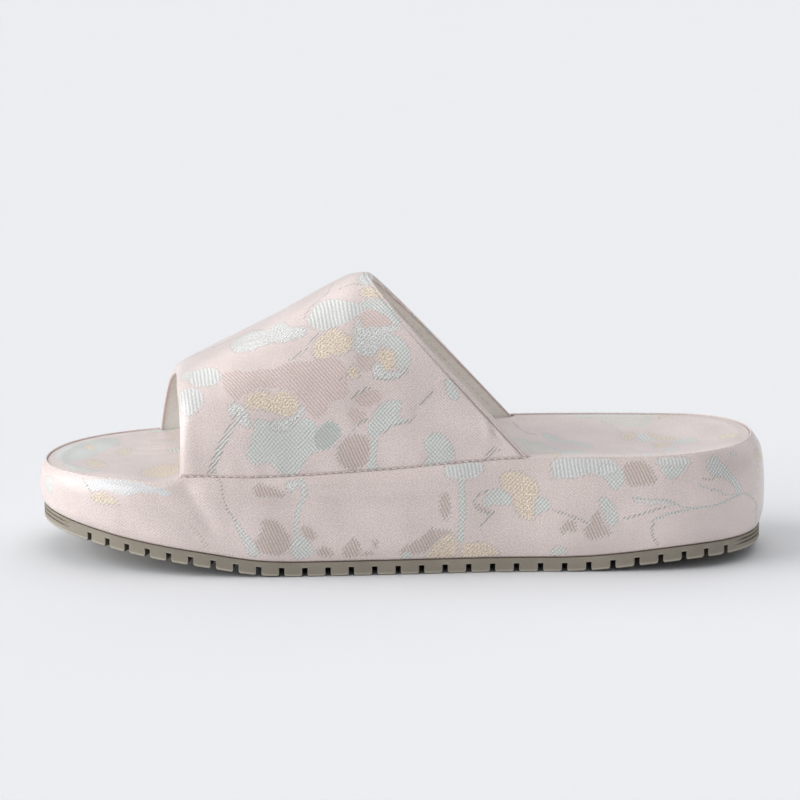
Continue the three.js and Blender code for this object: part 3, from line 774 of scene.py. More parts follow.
def satin_jacquard(settings):
    """Woven polyester jacquard: a glossy blush satin ground in fine twill, with the flowers in duller
    threads on top. The eye sees a crosshatch of fine threads, soft lustre, and serrated edges to every
    figure, where light and dark floats alternate."""
    material, tree = new_material("blush_satin_jacquard")
    weave = add(tree, "ShaderNodeUVMap", uv_map="weave")
    # Each set of threads by its lean in degrees, its pitch in millimetres and how unevenly it runs
    threads = {
        "falling": ribs(tree, weave, -50, 1.05, 1.6),
        "rising": ribs(tree, weave, 47, 1.15, 3.2),
        "steep": ribs(tree, weave, -66, 1.1, 1.6),
        "upright": ribs(tree, weave, -82, 1.35, 1.4),
    }
    # Ground: twill that leans one way or the other in patches of a few millimetres, with single threads
    # lighter or darker than their neighbours
    patches = add(tree, "ShaderNodeTexNoise", weave, noise_dimensions="2D", named={
        "Scale": 0.16, "Detail": 1.5,
    })
    leaning = add(tree, "ShaderNodeMapRange", patches, 0.35, 0.65, 0.25, 0.75)
    fine_rise, fine_fall = ribs(tree, weave, 45, 0.78, 1.6), ribs(tree, weave, -45, 0.78, 1.6)
    twill = add(tree, "ShaderNodeMix", leaning, fine_rise, fine_fall)
    flecks = add(tree, "ShaderNodeTexNoise", weave, noise_dimensions="2D", named={
        "Scale": 1.7, "Detail": 2, "Roughness": 0.75,
    })
    # The figures' threads also come as a herringbone, and broken up into flecks
    threads["chevron"] = add(tree, "ShaderNodeMix", leaning, threads["falling"], threads["rising"])
    broken = add(tree, "ShaderNodeMapRange", flecks, 0.4, 0.6)
    threads["speckled"] = add(tree, "ShaderNodeMix", 0.62, threads["rising"], broken)
    shaded = [part * kept for part, kept in zip(settings.blush, GROUND_KEEPS)]
    colour = add(tree, "ShaderNodeMix", twill, (*shaded, 1), (*settings.blush, 1), data_type="RGBA")
    height = add(tree, "ShaderNodeMath", twill, 0.35, operation="MULTIPLY")

    # Where a figure's edge falls shifts by a fraction of a thread, which makes it serrated.
    jitter = add(tree, "ShaderNodeMath", flecks, threads["rising"], operation="ADD")
    jitter = add(tree, "ShaderNodeMath", jitter, 0.5, -0.5, operation="MULTIPLY_ADD")
    dull, nearest = GROUND_DULLNESS, None
    for kind, bright, dark, which, stands, dullness in FIGURE_THREADS:
        distance = add(tree, "ShaderNodeAttribute", attribute_name=kind).outputs["Fac"]
        ragged = 1.9 if kind in RAGGED else 0.9
        serrated = add(tree, "ShaderNodeMath", jitter, ragged, distance, operation="MULTIPLY_ADD")
        inside = add(
            tree, "ShaderNodeMapRange", serrated, 0.2, -0.2, 0, 0.94, interpolation_type="SMOOTHSTEP",
        )
        cloth = add(
            tree, "ShaderNodeMix", threads[which], (*linear(dark), 1), (*linear(bright), 1), data_type="RGBA"
        )
        colour = add(tree, "ShaderNodeMix", inside, colour, cloth, data_type="RGBA")
        raised = add(tree, "ShaderNodeMath", threads[which], stands, operation="MULTIPLY")
        height = add(tree, "ShaderNodeMix", inside, height, raised)
        dull = add(tree, "ShaderNodeMix", inside, dull, dullness)
        if kind in OUTLINED:
            off = add(tree, "ShaderNodeMath", serrated, operation="ABSOLUTE")
            if nearest is not None:
                off = add(tree, "ShaderNodeMath", nearest, off, operation="MINIMUM")
            nearest = off

    # The floats that outline each figure
    edging = add(tree, "ShaderNodeMapRange", nearest, 0.5, 0.2, 0, 0.38, interpolation_type="SMOOTHSTEP")
    floats = add(
        tree, "ShaderNodeMix", threads["rising"], (*linear(0x96918C), 1), (*linear(0xF6F4F1), 1),
        data_type="RGBA",
    )
    colour = add(tree, "ShaderNodeMix", edging, colour, floats, data_type="RGBA")

    # Painted shade: the brown shadow line along the band's back fold and foot, and along the platform
    # cloth's lower edge above the outsole
    painted_shade_line = add(tree, "ShaderNodeAttribute", attribute_name="crease").outputs["Fac"]
    painted_shade_line = add(tree, "ShaderNodeMapRange", painted_shade_line, 0, 1, 0, 0.8)
    colour = add(tree, "ShaderNodeMix", painted_shade_line, colour, (*linear(0x7A5F54), 1), data_type="RGBA")

    # Threads taken up more or less, and a broad lustre
    uneven = add(tree, "ShaderNodeMapRange", flecks, 0.3, 0.7, 0.82, 1.18)
    lustre = add(tree, "ShaderNodeTexNoise", weave, noise_dimensions="2D", named={"Scale": 0.05, "Detail": 2})
    lustre = add(tree, "ShaderNodeMapRange", lustre, 0.3, 0.7, 0.95, 1.07)
    shade = add(tree, "ShaderNodeMath", uneven, lustre, operation="MULTIPLY")
    colour = add(tree, "ShaderNodeVectorMath", colour, operation="SCALE", named={"Scale": shade.outputs[0]})
    relief = add(tree, "ShaderNodeMath", flecks, 0.5, height, operation="MULTIPLY_ADD")
    bump = add(tree, "ShaderNodeBump", named={
        "Strength": 0.7, "Distance": 0.00009, "Height": relief.outputs[0],
    })
    surface = add(tree, "ShaderNodeBsdfPrincipled", named={
        "Base Color": colour, "Roughness": dull, "Normal": bump, "Specular IOR Level": 0.8,
        "Sheen Weight": 0.4, "Sheen Roughness": 0.3,
    })
    add(tree, "ShaderNodeOutputMaterial", surface)
    return material


def lining_twill(settings):
    """Cream cotton-like lining: matt, in a fine plain twill with slight unevenness."""
    material, tree = new_material("cream_lining_twill")
    weave = add(tree, "ShaderNodeUVMap", uv_map="weave")
    twill = ribs(tree, weave, 35, 0.9)
    cloudy = add(tree, "ShaderNodeTexNoise", weave, noise_dimensions="2D", named={"Scale": 0.35, "Detail": 4})
    shaded = [part * 0.95 for part in settings.cream]
    colour = add(tree, "ShaderNodeMix", twill, (*shaded, 1), (*settings.cream, 1), data_type="RGBA")
    shade = add(tree, "ShaderNodeMapRange", cloudy, 0.3, 0.7, 0.95, 1.03)
    colour = add(tree, "ShaderNodeVectorMath", colour, operation="SCALE", named={"Scale": shade.outputs[0]})
    bump = add(tree, "ShaderNodeBump", named={
        "Strength": 0.5, "Distance": 0.00006, "Height": twill.outputs[0],
    })
    surface = add(tree, "ShaderNodeBsdfPrincipled", named={
        "Base Color": colour, "Roughness": 0.78, "Normal": bump, "Sheen Weight": 0.8, "Sheen Roughness": 0.5,
    })
    add(tree, "ShaderNodeOutputMaterial", surface)
    return material


def moulded_rubber(settings):
    """Foamed rubber, taupe and matt: fine pores, a slightly paler line along the moulded edges that is partly
    its paler skin and partly painted highlight, painted shade inside the notches and under the edge, and a
    tread of fine chevrons underneath."""
    material, tree = new_material("moulded_foam_rubber")
    place = add(tree, "ShaderNodeTexCoord").outputs["Object"]
    pores = add(tree, "ShaderNodeTexNoise", place, named={"Scale": 2200, "Detail": 3, "Roughness": 0.6})
    cloudy = add(tree, "ShaderNodeTexNoise", place, named={"Scale": 60, "Detail": 4})
    rim = add(tree, "ShaderNodeAttribute", attribute_name="rim").outputs["Fac"]
    painted_shade_below = add(tree, "ShaderNodeAttribute", attribute_name="painted_shade_below").outputs["Fac"]
    shade = add(tree, "ShaderNodeMapRange", cloudy, 0.3, 0.7, 0.88, 1.08)
    colour = add(tree, "ShaderNodeVectorMath", (*settings.rubber,), operation="SCALE", named={
        "Scale": shade.outputs[0],
    })
    # Paler along the moulded edges: partly the moulding's flash, partly painted highlight of light off the
    # ground
    colour = add(tree, "ShaderNodeMix", rim, colour, (*linear(0xC8C1B1), 1), data_type="RGBA")
    # Painted shade inside the notches and under the sole's edge
    colour = add(tree, "ShaderNodeMix", painted_shade_below, colour, (*linear(0x1E1C18), 1), data_type="RGBA")
    speckled = add(tree, "ShaderNodeMapRange", pores, 0.3, 0.75, 0.92, 1.05)
    colour = add(tree, "ShaderNodeVectorMath", colour, operation="SCALE", named={
        "Scale": speckled.outputs[0],
    })
    chevrons = add(
        tree, "ShaderNodeTexWave", place, wave_profile="TRI", bands_direction="X",
        named={"Scale": 80, "Distortion": 0, "Phase Offset": 0},
    )
    tread = add(tree, "ShaderNodeAttribute", attribute_name="tread").outputs["Fac"]
    tread = add(tree, "ShaderNodeMath", chevrons, tread, operation="MULTIPLY")
    relief = add(tree, "ShaderNodeMath", pores, 0.25, tread, operation="MULTIPLY_ADD")
    bump = add(tree, "ShaderNodeBump", named={
        "Strength": 0.6, "Distance": 0.0003, "Height": relief.outputs[0],
    })
    surface = add(tree, "ShaderNodeBsdfPrincipled", named={
        "Base Color": colour, "Roughness": 0.6, "Normal": bump, "Specular IOR Level": 0.4,
    })
    add(tree, "ShaderNodeOutputMaterial", surface)
    return material


def spun_thread(_settings):
    """Spun polyester sewing thread, pale blush and slightly glossy, with its twist as fine slanting bumps."""
    material, tree = new_material("spun_thread")
    place = add(tree, "ShaderNodeTexCoord").outputs["Object"]
    twist = add(tree, "ShaderNodeTexWave", place, bands_direction="DIAGONAL", named={
        "Scale": 700, "Distortion": 1,
    })
    colour = add(
        tree, "ShaderNodeMix", twist, (*linear(0xE2D4CE), 1), (*linear(0xFAF5F2), 1), data_type="RGBA"
    )
    bump = add(tree, "ShaderNodeBump", named={
        "Strength": 0.5, "Distance": 0.00005, "Height": twist.outputs[0],
    })
    surface = add(tree, "ShaderNodeBsdfPrincipled", named={
        "Base Color": colour, "Roughness": 0.45, "Normal": bump,
    })
    add(tree, "ShaderNodeOutputMaterial", surface)
    return material


def matt_paper(_settings):
    """Seamless studio paper: white, matt, with a trace of fibre."""
    material, tree = new_material("matt_white_paper")
    place = add(tree, "ShaderNodeTexCoord").outputs["Object"]
    fibre = add(tree, "ShaderNodeTexNoise", place, named={"Scale": 9, "Detail": 3})
    colour = add(
        tree, "ShaderNodeMix", fibre, (*linear(0xF5F6F8), 1), (*linear(0xF7F8FA), 1), data_type="RGBA"
    )
    surface = add(tree, "ShaderNodeBsdfPrincipled", named={
        "Base Color": colour, "Roughness": 0.95, "Specular IOR Level": 0.1,
    })
    add(tree, "ShaderNodeOutputMaterial", surface)
    return material


MAKERS = {
    "blush_satin_jacquard": satin_jacquard,
    "cream_lining_twill": lining_twill,
    "moulded_foam_rubber": moulded_rubber,
    "spun_thread": spun_thread,
    "matt_white_paper": matt_paper,
}


def material_for(name):
    """The finish of that name, made the first time it is asked for."""
    return bpy.data.materials.get(name) or MAKERS[name](bpy.context.scene.slide_sandal)


# Settings

class SlideSandalSettings(bpy.types.PropertyGroup):
    blush: bpy.props.FloatVectorProperty(
        name="Blush", description="Satin ground of the cloth", subtype="COLOR", size=3, min=0, max=1,
        default=linear(0xEFE1DC),
    )
    cream: bpy.props.FloatVectorProperty(
        name="Cream", description="Lining inside the band", subtype="COLOR", size=3, min=0, max=1,
        default=linear(0xFFFCF5),
    )
    rubber: bpy.props.FloatVectorProperty(
        name="Taupe", description="Moulded rubber of the outsole", subtype="COLOR", size=3, min=0, max=1,
        default=linear(0x9A9284),
    )
    notch_width: bpy.props.FloatProperty(
        name="Notch width", description="Width of the outsole's edge notches", default=2.0 * MM,
        min=0.5 * MM, max=4 * MM, subtype="DISTANCE", unit="LENGTH",
    )
    stitch_pitch: bpy.props.FloatProperty(
        name="Stitch pitch", description="From one seam stitch to the next", default=2.6 * MM,
        min=1 * MM, max=6 * MM, subtype="DISTANCE", unit="LENGTH",
    )
    stitch_length: bpy.props.FloatProperty(
        name="Stitch length", description="Length of one seam stitch", default=1.9 * MM,
        min=0.5 * MM, max=5 * MM, subtype="DISTANCE", unit="LENGTH",
    )
    welt: bpy.props.FloatProperty(
        name="Welt", description="Thickness of the cord in the seam round the top", default=0.8 * MM,
        min=0.2 * MM, max=2 * MM, subtype="DISTANCE", unit="LENGTH",
    )
    thread: bpy.props.FloatProperty(
        name="Thread", description="Thickness of the seam thread", default=0.45 * MM,
        min=0.1 * MM, max=1.5 * MM, subtype="DISTANCE", unit="LENGTH",
    )


# Pieces

class SANDAL_OT_outsole(bpy.types.Operator):
    """Builds the moulded outsole: a plain strip on top, notched lugs below, a groove at toe and heel"""

    bl_idname = "sandal.outsole"
    bl_label = "Outsole"

    def execute(self, context):
        lateral, edge = notched_edge(context.scene.slide_sandal.notch_width / MM)
        places, angle, side = round_columns(lateral)
        low = np.concatenate([edge, edge[-2:0:-1]])
        across = fullest(angle, side)
        # The groove runs round the toe and the heel and fades out where the long sides begin.
        ends = smooth(32, 24, np.abs(across[:, 1])) * (np.abs(across[:, 0]) > 60)

        def level(inside, up, out=1.0):
            """A ring with its own height above the ground line for each column."""
            points = ring(angle, side, lambda _: OUTSOLE_INSET + inside, ground, out)
            points[:, 2] += up
            return points

        lip, top, groove_depth = 0.6, OUTSOLE_THICKNESS, 0.8
        # Height of each ring of the side above the lugs' edge, and how deep the end groove is there
        groove = ((2.3, 0), (2.45, 1), (3.05, 1), (3.2, 0), (3.75, 0), (3.9, 1), (4.5, 1), (4.65, 0))
        rows = [
            level(0, 0, 0.0), level(0, 0, 0.5), level(NOTCH_DEPTH, 0), level(NOTCH_DEPTH, low), level(3, low),
            level(lip, low), level(lip * 0.3, low + lip * 0.3), level(0, low + lip),
            level(0, np.maximum(low + lip + 0.05, 1.2)),
            *[
                level(ends * sunk * groove_depth, np.maximum(low + lip + up * 0.05, up))
                for up, sunk in groove
            ],
            level(0, top - 0.3), level(0.3, top), level(0, top, 0.5), level(0, top, 0.0),
        ]
        stack = np.array(rows)
        # The moulded edge is paler along the lugs and round each notch, partly its paler flash and partly
        # painted highlight of light off the ground; the notches and the underside's edge are painted dark as
        # shade.
        beside = smooth(0, 0.6, np.abs(np.gradient(low)))
        rim = np.zeros(stack.shape[:2])
        rim[7] = 0.9
        rim[6:9] = np.maximum(rim[6:9], beside * 0.75)
        painted_shade_below = np.zeros(stack.shape[:2])
        painted_shade_below[2:5] = np.maximum(low > 1.5, 0.6)
        painted_shade_below[5], painted_shade_below[6] = 0.75, 0.3
        tread = np.zeros(stack.shape[:2])
        tread[:3] = 1
        piece = make_piece(
            "outsole_rubber", centred(stack), [material_for("moulded_foam_rubber")],
            values={"rim": rim, "painted_shade_below": painted_shade_below, "tread": tread},
        )
        piece.data.set_sharp_from_angle(angle=math.radians(40))
        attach(piece, "root")
        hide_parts("outsole")
        return {"FINISHED"}


def notched_edge(width):
    """Places along the little-toe side, and the height of the outsole's lower edge there: the lugs' rounded
    ends stand on the ground, and the notches between them are NOTCH_HEIGHT high."""
    corner, step = 0.8, 1.6
    turn = np.linspace(0, np.pi / 2, 5)
    places, low = [0.0, TO_HEEL], [0.0, 0.0]
    for middle in NOTCHES:
        for direction in (-1, 1):
            wall = middle + direction * width / 2
            steps = [(wall - direction * 0.25, NOTCH_HEIGHT), (wall - direction * 0.02, NOTCH_HEIGHT)]
            steps += [
                (wall + direction * corner * (1 - math.cos(a)), corner * (1 - math.sin(a))) for a in turn
            ]
            places.extend(place for place, _ in steps)
            low.extend(height for _, height in steps)
    order = np.argsort(places, kind="stable")
    places, low = np.array(places)[order], np.array(low)[order]
    # The lugs between are filled in at about one step.
    full_places, full_low = [places[0]], [low[0]]
    for before, place, height in zip(places, places[1:], low[1:]):
        count = int((place - before) / step) if place - before > step + 0.1 else 0
        full_places += [before + (place - before) * k / (count + 1) for k in range(1, count + 1)]
        full_low += [0.0] * count
        full_places.append(place)
        full_low.append(height)
    return np.array(full_places), np.array(full_low)


class SANDAL_OT_platform(bpy.types.Operator):
    """Builds the platform's wrapped cloth, rolled over its rim and turned down into the footbed's seam"""

    bl_idname = "sandal.platform"
    bl_label = "Platform cover"

    def execute(self, context):
        places, angle, side = round_columns(np.linspace(0, TO_HEEL, 561))
        base = OUTSOLE_THICKNESS + GAP

        def profile(up):
            inside, rolled = follow(SIDE, up, 1), follow(SIDE, up, 2)
            return ring(
                angle, side, lambda x: inside + rolled * last(x, ROLL),
                lambda x: (ground(x) + base) * (1 - up) + last(x, SEAM) * up,
            )

        # Rows at even steps of the cloth's own length
        trial_ups = np.linspace(0, 1, 161)
        trial = np.array([profile(up)[len(places) // 4] for up in trial_ups])
        length = np.concatenate([[0], np.cumsum(np.linalg.norm(np.diff(trial, axis=0), axis=1))])
        ups = np.interp(np.linspace(0, length[-1], 60), length, trial_ups)
        side_rows = np.array([profile(up) for up in ups])
        run = np.concatenate([
            np.zeros((1, len(places))), np.cumsum(np.linalg.norm(np.diff(side_rows, axis=0), axis=2), 0),
        ])
        chart = np.stack([np.broadcast_to(places, run.shape), run], -1)
        relief = platform_relief(chart, run[-1])
        side_rows = pucker(side_rows + grid_normals(side_rows) * relief[..., None])

        def floor(x):
            return last(x, SEAM) - RECESS_DEPTH

        def under(x):
            return ground(x) + base

        def wall(extra, height):
            return ring(angle, side, lambda x: last(x, ROLL) + extra, height)

        rows = [
            ring(angle, side, lambda x: OUTSOLE_INSET, under, 0.0),
            ring(angle, side, lambda x: OUTSOLE_INSET, under, 0.5),
            *side_rows,
            pucker(wall(-0.03, lambda x: last(x, SEAM) - 0.12)),
            pucker(wall(0, lambda x: last(x, SEAM) - 0.6)),
            wall(0, floor),
            ring(angle, side, lambda x: last(x, ROLL), floor, 0.5),
            ring(angle, side, lambda x: last(x, ROLL), floor, 0.0),
        ]
        stack = np.array(rows)
        low, high = run[:1] - 5, run[-1:] + 2
        run = np.concatenate([low, low, run, high, high, high, high, high])
        chart = np.stack([np.broadcast_to(places, run.shape), run], -1)
        values = weave_values(chart, charted(PLATFORM_FIGURES), ((0, 0), (TO_HEEL, 0), (-TO_HEEL, 0)))
        # The crease values paint shade along the cloth's lower edge above the outsole.
        piece = make_piece(
            "platform_cover", centred(stack), [material_for("blush_satin_jacquard")],
            charts=corner_charts(places, run, ROUND), values={**values, "crease": under_edge_shade(run)},
        )
        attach(piece, "root")
        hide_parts("platform")
        return {"FINISHED"}


def under_edge_shade(run):
    """Painted shade: the brown line where the cloth is lasted under, just above the outsole."""
    return smooth(0.55, 0.15, np.abs(run)) * 0.75


def platform_relief(chart, seam_run):
    """Soft troughs and swellings of the wrapped side in millimetres, in places on its chart."""
    u, v = np.moveaxis(chart, -1, 0)
    side_u = np.where(u > TO_HEEL, ROUND - u, u)
    held = smooth(0, 4, v) * smooth(0, 3, seam_run - v)
    # The roll is drawn in beneath by the glued edge of the band
    trough = 24.3 + 1.8 * smooth(150, 215, side_u)
    along = smooth(92, 125, side_u) * smooth(238, 195, side_u)
    relief = -0.75 * hump(v, trough, 2.3) * along + 0.3 * hump(v, trough + 4.4, 2.2) * along
    # A swelling beside the band's front foot, with a slack fold leaving it down and back
    relief = relief + 0.75 * hump(side_u, 66, 15) * hump(v, 18.5, 6)
    relief = relief - 0.7 * fold(np.stack([side_u, v], -1), (80, 27), (93, 8), 3.2)
    relief = relief + 0.16 * undulation(chart, 24) + 0.07 * undulation(chart + 50, 8)
    return relief * held


class SANDAL_OT_footbed(bpy.types.Operator):
    """Builds the padded sock that lies in the platform, dished for the foot"""

    bl_idname = "sandal.footbed"
    bl_label = "Footbed"

    def execute(self, context):
        places, angle, side = round_columns(np.linspace(0, TO_HEEL, 421))
        full = fullest(angle, side)
        # Beside the band the pad gives way to it.
        rear, front = band_ends(side)
        beside = smooth(rear - 2.2, rear - 0.4, full[:, 0]) * smooth(front + 2.2, front + 0.4, full[:, 0])
        room = beside * (BAND_WALL + 0.45)

        def inset(extra):
            return lambda x: last(x, ROLL) + GAP + extra + room

        def level(extra, below):
            return ring(angle, side, inset(extra), lambda x: last(x, SEAM) - below)

        brim = 1.7
        rows = [
            level(0, RECESS_DEPTH - GAP), level(0, 1.2), level(0.03, 0.85), level(0.12, 0.55),
            level(0.3, 0.28), level(0.65, 0.1), level(1.2, 0),
        ]
        for out in np.linspace(1, 0, 56):
            # The pad swells a little inside its seam and is dished further in.
            swell, dished = 0.45 * hump(out, 0.9, 0.07), (1 - out**2) ** 1.2
            rows.append(ring(
                angle, side, inset(brim), lambda x: last(x, SEAM) + swell - last(x, DISH) * dished, out,
            ))
        stack = np.array(rows)
        relief = footbed_relief(stack[..., :2]) * smooth(7, 12, np.arange(len(rows)))[:, None]
        stack[..., 2] += relief
        stack = pucker(stack)
        low_x, low_y = spine(full[:, 0]).T
        bottom = np.column_stack([low_x, low_y, last(low_x, SEAM) - RECESS_DEPTH + GAP])
        half = ring(angle, side, inset(0), lambda x: last(x, SEAM) - RECESS_DEPTH + GAP, 0.5)
        stack = np.concatenate([bottom[None], half[None], stack])

        chart = stack[..., :2]
        values = weave_values(chart, charted(FOOTBED_FIGURES) + COVERED_FIGURES, wander=0.65)
        faces = grid_faces(*stack.shape[:2])
        piece = make_piece(
            "footbed_cover", centred(stack), [material_for("blush_satin_jacquard")],
            charts=-chart.reshape(-1, 2)[faces].reshape(-1, 2),
            values={**values, "crease": 0 * values["rib"]},
        )
        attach(piece, "root")
        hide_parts("footbed")
        return {"FINISHED"}


def footbed_relief(chart):
    """Unevenness of the pad, and the cloth's faint pull lines at the band's front opening."""
    relief = 0.12 * undulation(chart, 30) + 0.05 * undulation(chart, 9)
    for y, depth in ((-27, 0.3), (-20, 0.22), (-11, 0.28), (-3, 0.2)):
        relief = relief - depth * fold(chart, (99, y - 1), (70, y + 2), 1.6)
    return relief


# Angles of the rows round the band's edges, from the outer face to the inner
RIM_TURN = np.linspace(0, np.pi, 9)[1:-1]


class SANDAL_OT_band(bpy.types.Operator):
    """Builds the padded band: face cloth outside, lining inside, its front and back edges folded over"""

    bl_idname = "sandal.band"
    bl_label = "Band"

    def execute(self, context):
        over = np.linspace(0, 1, 301)
        share = np.concatenate([
            np.linspace(0, 0.055, 14, endpoint=False), np.linspace(0.055, 0.955, 122, endpoint=False),
            np.linspace(0.955, 1, 15),
        ])
        inner_share = np.concatenate([
            np.linspace(1, 0.96, 10, endpoint=False), np.linspace(0.96, 0.04, 50, endpoint=False),
            np.linspace(0.04, 0, 8),
        ])
        front, rear = throat_x(over), back_x(over)
        span = (front - rear)[:, None]

        def sheet(shares, depth):
            """Points over the band at shares of the way back, sunk by depth, with their charts and the
            distances in from its front and back edges."""
            x = front[:, None] - span * shares
            spread = np.broadcast_to(over[:, None], x.shape)
            surface, normal = band_surface(x, spread)
            run = np.concatenate([
                np.zeros((len(over), 1)), np.cumsum(np.linalg.norm(np.diff(surface, axis=1), axis=2), 1),
            ], 1)
            if shares[0] > shares[-1]:
                from_back = run
                from_front = run[:, -1:] - run
            else:
                from_front = run
                from_back = run[:, -1:] - run
            chart = np.stack([x, spread * np.interp(x, ARCH_X, ARCH_LENGTH)], -1)
            sunk = surface - normal * depth(from_front, from_back, chart)[..., None]
            return sunk, chart, from_front, from_back

        def outer_depth(from_front, from_back, chart):
            """The padded edges are rounded off, and the rest is drawn by its creases."""
            edge = 1.7 * (1 - np.sqrt(1 - np.clip(1 - from_front / 4.6, 0, 1) ** 2))
            edge = edge + 0.9 * (1 - np.sqrt(1 - np.clip(1 - from_back / 2.4, 0, 1) ** 2))
            fold_line = 0.32 * hump(from_back, FOLD_IN, 0.35)
            inside = smooth(0, 5, from_front) * smooth(0, 4, from_back)
            return edge + fold_line - band_relief(chart) * inside

        def inner_depth(from_front, from_back, chart):
            """The lining lies a little lower than the cloth folded in over the edges."""
            sunk = smooth(0.5, 1.1, from_back) * smooth(0.5, 1.1, from_front)
            return BAND_WALL - 0.28 * sunk

        outer, outer_chart, _, out_back = sheet(share, outer_depth)
        inner, inner_chart, in_front, in_back = sheet(inner_share, inner_depth)

        def rim(start, end, beyond):
            """The rounded edge from start to end, bulging towards beyond."""
            middle, reach = (start + end) / 2, (start - end) / 2
            size = np.linalg.norm(reach, axis=1, keepdims=True)
            ahead = start - beyond
            ahead /= np.linalg.norm(ahead, axis=1, keepdims=True)
            return np.stack([
                middle + reach * math.cos(a) + ahead * size * math.sin(a) * 0.9 for a in RIM_TURN
            ], 1)

        back_rim = rim(outer[:, -1], inner[:, 0], outer[:, -2])
        front_rim = rim(inner[:, -1], outer[:, 0], inner[:, -2])
        loop = np.concatenate([outer, back_rim, inner, front_rim], 1)

        rim_width = 4.0
        back_chart = rim_chart(outer_chart[:, -1], -rim_width)
        front_chart = rim_chart(outer_chart[:, 0], rim_width)[:, ::-1]
        chart = np.concatenate([outer_chart, back_chart, inner_chart, front_chart], 1)
        down = np.array([0, 0, -(RECESS_DEPTH - GAP)])
        stack = np.concatenate([loop[:1] + down, loop, loop[-1:] + down])
        chart = np.concatenate([chart[:1] - [0, 6], chart, chart[-1:] + [0, 6]])

        rows, columns = stack.shape[:2]
        begins = outer.shape[1] + back_rim.shape[1]
        lined = np.zeros((rows - 1, columns), int)
        # The face cloth is turned in over both edges, and the lining begins behind it.
        typical_back, typical_front, turned = np.median(in_back, 0), np.median(in_front, 0), 0.3
        turned_in = (typical_back[:-1] > turned) & (typical_front[1:] > turned)
        lined[:, begins:begins + len(turned_in)] = turned_in
        # A shadow line follows the fold behind, low on the side that shows, and the band's foot.
        crease = np.zeros((rows, columns))
        above = outer[..., 2] - last(outer[..., 0], SEAM)
        fades = smooth(0, 2.5, above) * smooth(52, 20, above) * (outer[..., 1] > 0)
        tucked = 0.5 * smooth(1.0, 0.3, above)
        crease[1:-1, :outer.shape[1]] = np.maximum(hump(out_back, FOLD_IN, 0.28) * fades, tucked)
        faces = grid_faces(rows, columns)
        values = weave_values(chart, charted(BAND_FIGURES), ((0, 0), (-12, 93)))
        piece = make_piece(
            "band_shell", centred(stack),
            [material_for("blush_satin_jacquard"), material_for("cream_lining_twill")],
            places=lined.ravel(), charts=(chart * [-1, 1]).reshape(-1, 2)[faces].reshape(-1, 2),
            values={**values, "crease": crease},
        )
        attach(piece, "root")
        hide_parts("band")
        return {"FINISHED"}


def rim_chart(edge, past):
    """Chart over a rounded edge, where the face cloth runs on past its edge by that many millimetres."""
    share = RIM_TURN / np.pi
    return edge[:, None] + np.stack([past * share, 0 * share], -1)


# The band's creases: height, negative for a trough, from where to where on its chart, and width
BAND_CREASES = (
    (-0.5, (-4, 19.5), (-13, 28.5), 1.3),
    (0.35, (-5.5, 22), (-15, 31), 1.2),
    (-0.6, (-32, 16.5), (-33.8, 8.5), 1.0),
    (0.3, (-29.5, 16), (-31, 8), 1.4),
    (-0.25, (66, 70), (20, 78), 5),
    (-0.22, (50, 30), (20, 12), 7),
)


def band_relief(chart):
    """Creases and swells of the band's face in millimetres, in places on its chart."""
    x, w = np.moveaxis(chart, -1, 0)
    relief = sum(height * fold(chart, start, end, width) for height, start, end, width in BAND_CREASES)
    # Small gathers where the foot of the band goes into the seam
    foot = smooth(9, 2, w) * smooth(0, 1.5, w)
    relief = relief + 0.14 * foot * np.sin(x * 0.62 + 1.5 * np.sin(x * 0.13))
    return relief + 0.2 * undulation(chart, 34) + 0.06 * undulation(chart + 30, 9)


def band_surface(x, over):
    """Points and outward normals of the band's outer face."""
    point = np.concatenate([x[..., None], arch_point(x, over)], -1)
    share, step = 0.004, 0.5
    before = arch_point(x, np.clip(over - share, 0, 1))
    after = arch_point(x, np.clip(over + share, 0, 1))
    across = np.concatenate([np.zeros(x.shape + (1,)), after - before], -1)
    ahead, behind = arch_point(x + step, over), arch_point(x - step, over)
    along = np.concatenate([np.full(x.shape + (1,), 2 * step), ahead - behind], -1)
    normal = np.cross(across, along)
    normal[..., 2] = np.where((over <= 0) | (over >= 1), 0, normal[..., 2])
    return point, normal / np.linalg.norm(normal, axis=-1, keepdims=True)


def stitch_tree():
    """Geometry nodes that lay stitches along the paths of a mesh, lying on it in the paths' direction."""
    tree = bpy.data.node_groups.new("stitches_along_seam", "GeometryNodeTree")
    tree.interface.new_socket("Geometry", in_out="INPUT", socket_type="NodeSocketGeometry")
    for name in ("Pitch", "Length", "Thread"):
        tree.interface.new_socket(name, in_out="INPUT", socket_type="NodeSocketFloat")
    tree.interface.new_socket("Thread finish", in_out="INPUT", socket_type="NodeSocketMaterial")
    tree.interface.new_socket("Geometry", in_out="OUTPUT", socket_type="NodeSocketGeometry")
    inputs = add(tree, "NodeGroupInput").outputs
    paths = add(tree, "GeometryNodeMeshToCurve", inputs["Geometry"])
    spots = add(tree, "GeometryNodeResampleCurve", mode="LENGTH", named={
        "Curve": paths, "Length": inputs["Pitch"],
    })
    stitch = add(tree, "GeometryNodeMeshUVSphere", named={"Segments": 8, "Rings": 5, "Radius": 0.5})
    tangent = add(tree, "GeometryNodeInputTangent")
    heading = add(tree, "FunctionNodeAlignRotationToVector", axis="X", named={"Vector": tangent})
    size = add(tree, "ShaderNodeCombineXYZ", inputs["Length"], inputs["Thread"], inputs["Thread"])
    laid = add(tree, "GeometryNodeInstanceOnPoints", named={
        "Points": spots, "Instance": stitch.outputs["Mesh"], "Rotation": heading, "Scale": size,
    })
    real = add(tree, "GeometryNodeRealizeInstances", laid)
    sewn = add(tree, "GeometryNodeSetMaterial", named={
        "Geometry": real, "Material": inputs["Thread finish"],
    })
    add(tree, "NodeGroupOutput", sewn)
    return tree


